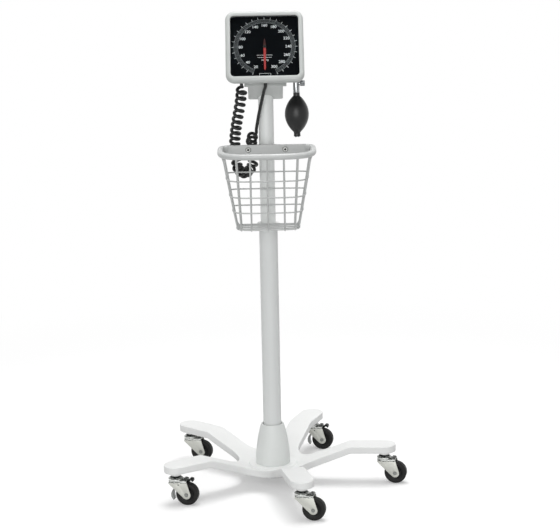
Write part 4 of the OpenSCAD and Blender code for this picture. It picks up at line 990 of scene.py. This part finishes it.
# Castors: wheel profiles run along the axle, the race's profile runs up the stem
castor = {"count": 5, "braked": (2, 4), "reach": 252, "turn": -4.2, "heading": -13, "trail": 26, "axle": 25}
tyreProfile = (
    [(15.9, -8.2), (17.5, -8.7), (20.4, -9.3)]
    + arc(21.6, -6.1, 3.3, -75, 0, 8)[1:]
    + [(25, -3), (25, 0), (25, 3)]
    + arc(21.6, 6.1, 3.3, 0, 75, 8)[:-1]
    + [(20.4, 9.3), (17.5, 8.7), (15.9, 8.2)]
)
hubSide = [(3.05, 11.2), (5.4, 11.2), (6, 10.6), (6, 8.4), (7.4, 6.4), (12.6, 6.4), (13.8, 7.6), (15.4, 8.1),
           (15.95, 7.4)]
hubProfile = [(r, -z) for r, z in hubSide] + hubSide[::-1]
raceProfile = (
    [(nearZero, 57.8), (12.4, 57.8), (14, 57.1), (15.6, 57.0)]
    + arc(15.7, 57.8, 0.8, -90, 0, 4)
    + [(16.5, 59.2)]
    + arc(15.3, 59.4, 1.2, 0, 50, 4)
    + [(14.4, 61.0), (13, 62.4), (11, 63.7), (10.2, 64), (10, 64.6), (10, 65.95), (5, 65.95), (5, 76),
       (nearZero, 76)]
)
for i in range(1, castor["count"] + 1):
    turn = castor["turn"] + 360 / castor["count"] * (i - 1)
    place = (
        Matrix.Rotation(math.radians(turn), 4, "Z")
        @ shifted(castor["reach"], 0, 0)
        @ Matrix.Rotation(math.radians(castor["heading"] - turn), 4, "Z")
    )
    wheelPlace = place @ shifted(castor["trail"], 0, castor["axle"]) @ Matrix.Rotation(math.pi / 2, 4, "X")
    name, node = f"castor{i}", f"caster_{i}_"
    wheel, swivel = node + "wheel", node + "swivel"
    tyreMesh = turned(tyreProfile, wheelPlace, 72, ringed=True)
    addPiece(name + "Tyre", tyreMesh, wheel, tyreRubber, (node + "tyre",))
    hubMesh = turned(hubProfile, wheelPlace, 60, ringed=True)
    addPiece(name + "Hub", hubMesh, wheel, hubNylon, (node + "hub",))
    addPiece(name + "Race", turned(raceProfile, place, 72), "stand", raceChromePaintedReflections, (node + "stem",))
    addPiece(name + "Fork", softened(node + "fork", 0.45, 2), swivel, zincPlatePaintedReflections, (node + "fork",))
    addPiece(name + "Axle", softened(node + "axle", 0.35, 2), swivel, boltSteel, (node + "axle",))
    if i in castor["braked"]:
        brakeMesh = softened(node + "brake", 0.5, 2)
        addPiece(name + "Brake", brakeMesh, node + "lock", brakeSteelPaintedLight, (node + "brake",))
print("castors made")

# Model nodes that stay, each in its own finish
keptFinishes = {
    "pole_plug": screwSteel, "pole_bolt": screwSteel, "basket_screws": screwSteel, "bracket_screws": screwSteel,
    "case_screws": screwSteel, "lens": acrylicWindow, "lens_gasket": sealRubber, "dial_plate": dialLacquer,
    "pinion": brass, "sector_gear": brass, "movement_frame": brass, "hairspring": blueSteel, "bellows": brass,
    "manifold": screwSteel, "hose_ports": hubNylon, "bulb_inlet": chrome,
}
for node, finish in keptFinishes.items():
    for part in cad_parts[node].material_slots:
        part.material = finish
print("finishes set")

# Floor, world and lamps
studio = {
    "floorHalf": 14,
    "floorLit": "#E6E6E6",
    "floorBounce": "#C0C0C0",
    "floorGlow": 0.27,
    "sweep": (0.7, 1.8),  # metres from the pole over which the floor turns plain white
    "ambient": 0.4,
    "dusk": (0.32, 0.8),  # rise of the view over which the room turns dark
    "ceiling": 0.02,
}
white = linear("#FFFFFF")
edge = studio["floorHalf"]
floorMesh = meshFrom([(-edge, -edge, 0), (edge, -edge, 0), (edge, edge, 0), (-edge, edge, 0)], [[0, 1, 2, 3]])
floor = bpy.data.objects.new("floor", floorMesh)
scene.collection.objects.link(floor)


# 1 on a ray that shows the room: from the camera, off something glossy or through something clear
def seenRay(tree):
    way = addNode(tree, "ShaderNodeLightPath").outputs
    seen = addNode(tree, "ShaderNodeMath", {0: way["Is Camera Ray"], 1: way["Is Glossy Ray"]}, operation="ADD")
    both = {0: seen, 1: way["Is Transmission Ray"]}
    return addNode(tree, "ShaderNodeMath", both, operation="ADD", use_clamp=True)


# Pale studio sweep: it takes the object's shadow, and its own faint light lifts it to white where it is seen
def paleFloor():
    material, tree = newSurface("paleFloor")
    lit = addNode(tree, "ShaderNodeBsdfDiffuse", {"Color": linear(studio["floorLit"])})
    glow = addNode(tree, "ShaderNodeEmission", {"Color": white, "Strength": studio["floorGlow"]})
    both = addNode(tree, "ShaderNodeAddShader", {0: lit, 1: glow})
    spot = addNode(tree, "ShaderNodeNewGeometry").outputs["Position"]
    away = addNode(tree, "ShaderNodeVectorMath", {0: spot}, operation="LENGTH").outputs["Value"]
    near, far = studio["sweep"]
    span = {"Value": away, "From Min": near, "From Max": far}
    share = addNode(tree, "ShaderNodeMapRange", span, interpolation_type="SMOOTHSTEP")
    plain = addNode(tree, "ShaderNodeEmission", {"Color": white, "Strength": 1})
    sweep = addNode(tree, "ShaderNodeMixShader", {0: share, 1: both, 2: plain})
    bounce = addNode(tree, "ShaderNodeBsdfDiffuse", {"Color": linear(studio["floorBounce"])})
    mixed = addNode(tree, "ShaderNodeMixShader", {0: seenRay(tree), 1: bounce, 2: sweep})
    addNode(tree, "ShaderNodeOutputMaterial", {"Surface": mixed})
    return material


floorMesh.materials.append(paleFloor())

# The room is white to the sides and dark overhead, so the window and the plated parts mirror a dark ceiling
world = bpy.data.worlds.new("studio")
scene.world = world
world.use_nodes = True
world.node_tree.nodes.clear()
tree = world.node_tree
ambient = addNode(tree, "ShaderNodeBackground", {"Color": white, "Strength": studio["ambient"]})
heading = addNode(tree, "ShaderNodeTexCoord").outputs["Generated"]
rise = addNode(tree, "ShaderNodeSeparateXYZ", {0: heading}).outputs[2]
duskLow, duskHigh = studio["dusk"]
span = {"Value": rise, "From Min": duskLow, "From Max": duskHigh, "To Min": 1, "To Max": studio["ceiling"]}
dusk = addNode(tree, "ShaderNodeMapRange", span, interpolation_type="SMOOTHSTEP")
room = addNode(tree, "ShaderNodeBackground", {"Color": white, "Strength": dusk})
mixed = addNode(tree, "ShaderNodeMixShader", {0: seenRay(tree), 1: ambient, 2: room})
addNode(tree, "ShaderNodeOutputWorld", {"Surface": mixed})

lamps = {
    "key": {"place": (0.1, 0.25, 3.1), "aim": (0, 0, 0.3), "size": 1.6, "power": 60},
    "front": {"place": (-0.4, -3.5, 1.3), "aim": (0, 0, 0.6), "size": 2.2, "power": 52},
}
for name, lamp in lamps.items():
    light = bpy.data.lights.new(name, "AREA")
    light.size = lamp["size"]
    light.energy = lamp["power"]
    piece = bpy.data.objects.new(name, light)
    piece.location = lamp["place"]
    piece.rotation_euler = (Vector(lamp["aim"]) - Vector(lamp["place"])).to_track_quat("-Z", "Y").to_euler()
    scene.collection.objects.link(piece)
scene.view_settings.view_transform = "Standard"
print("studio made")
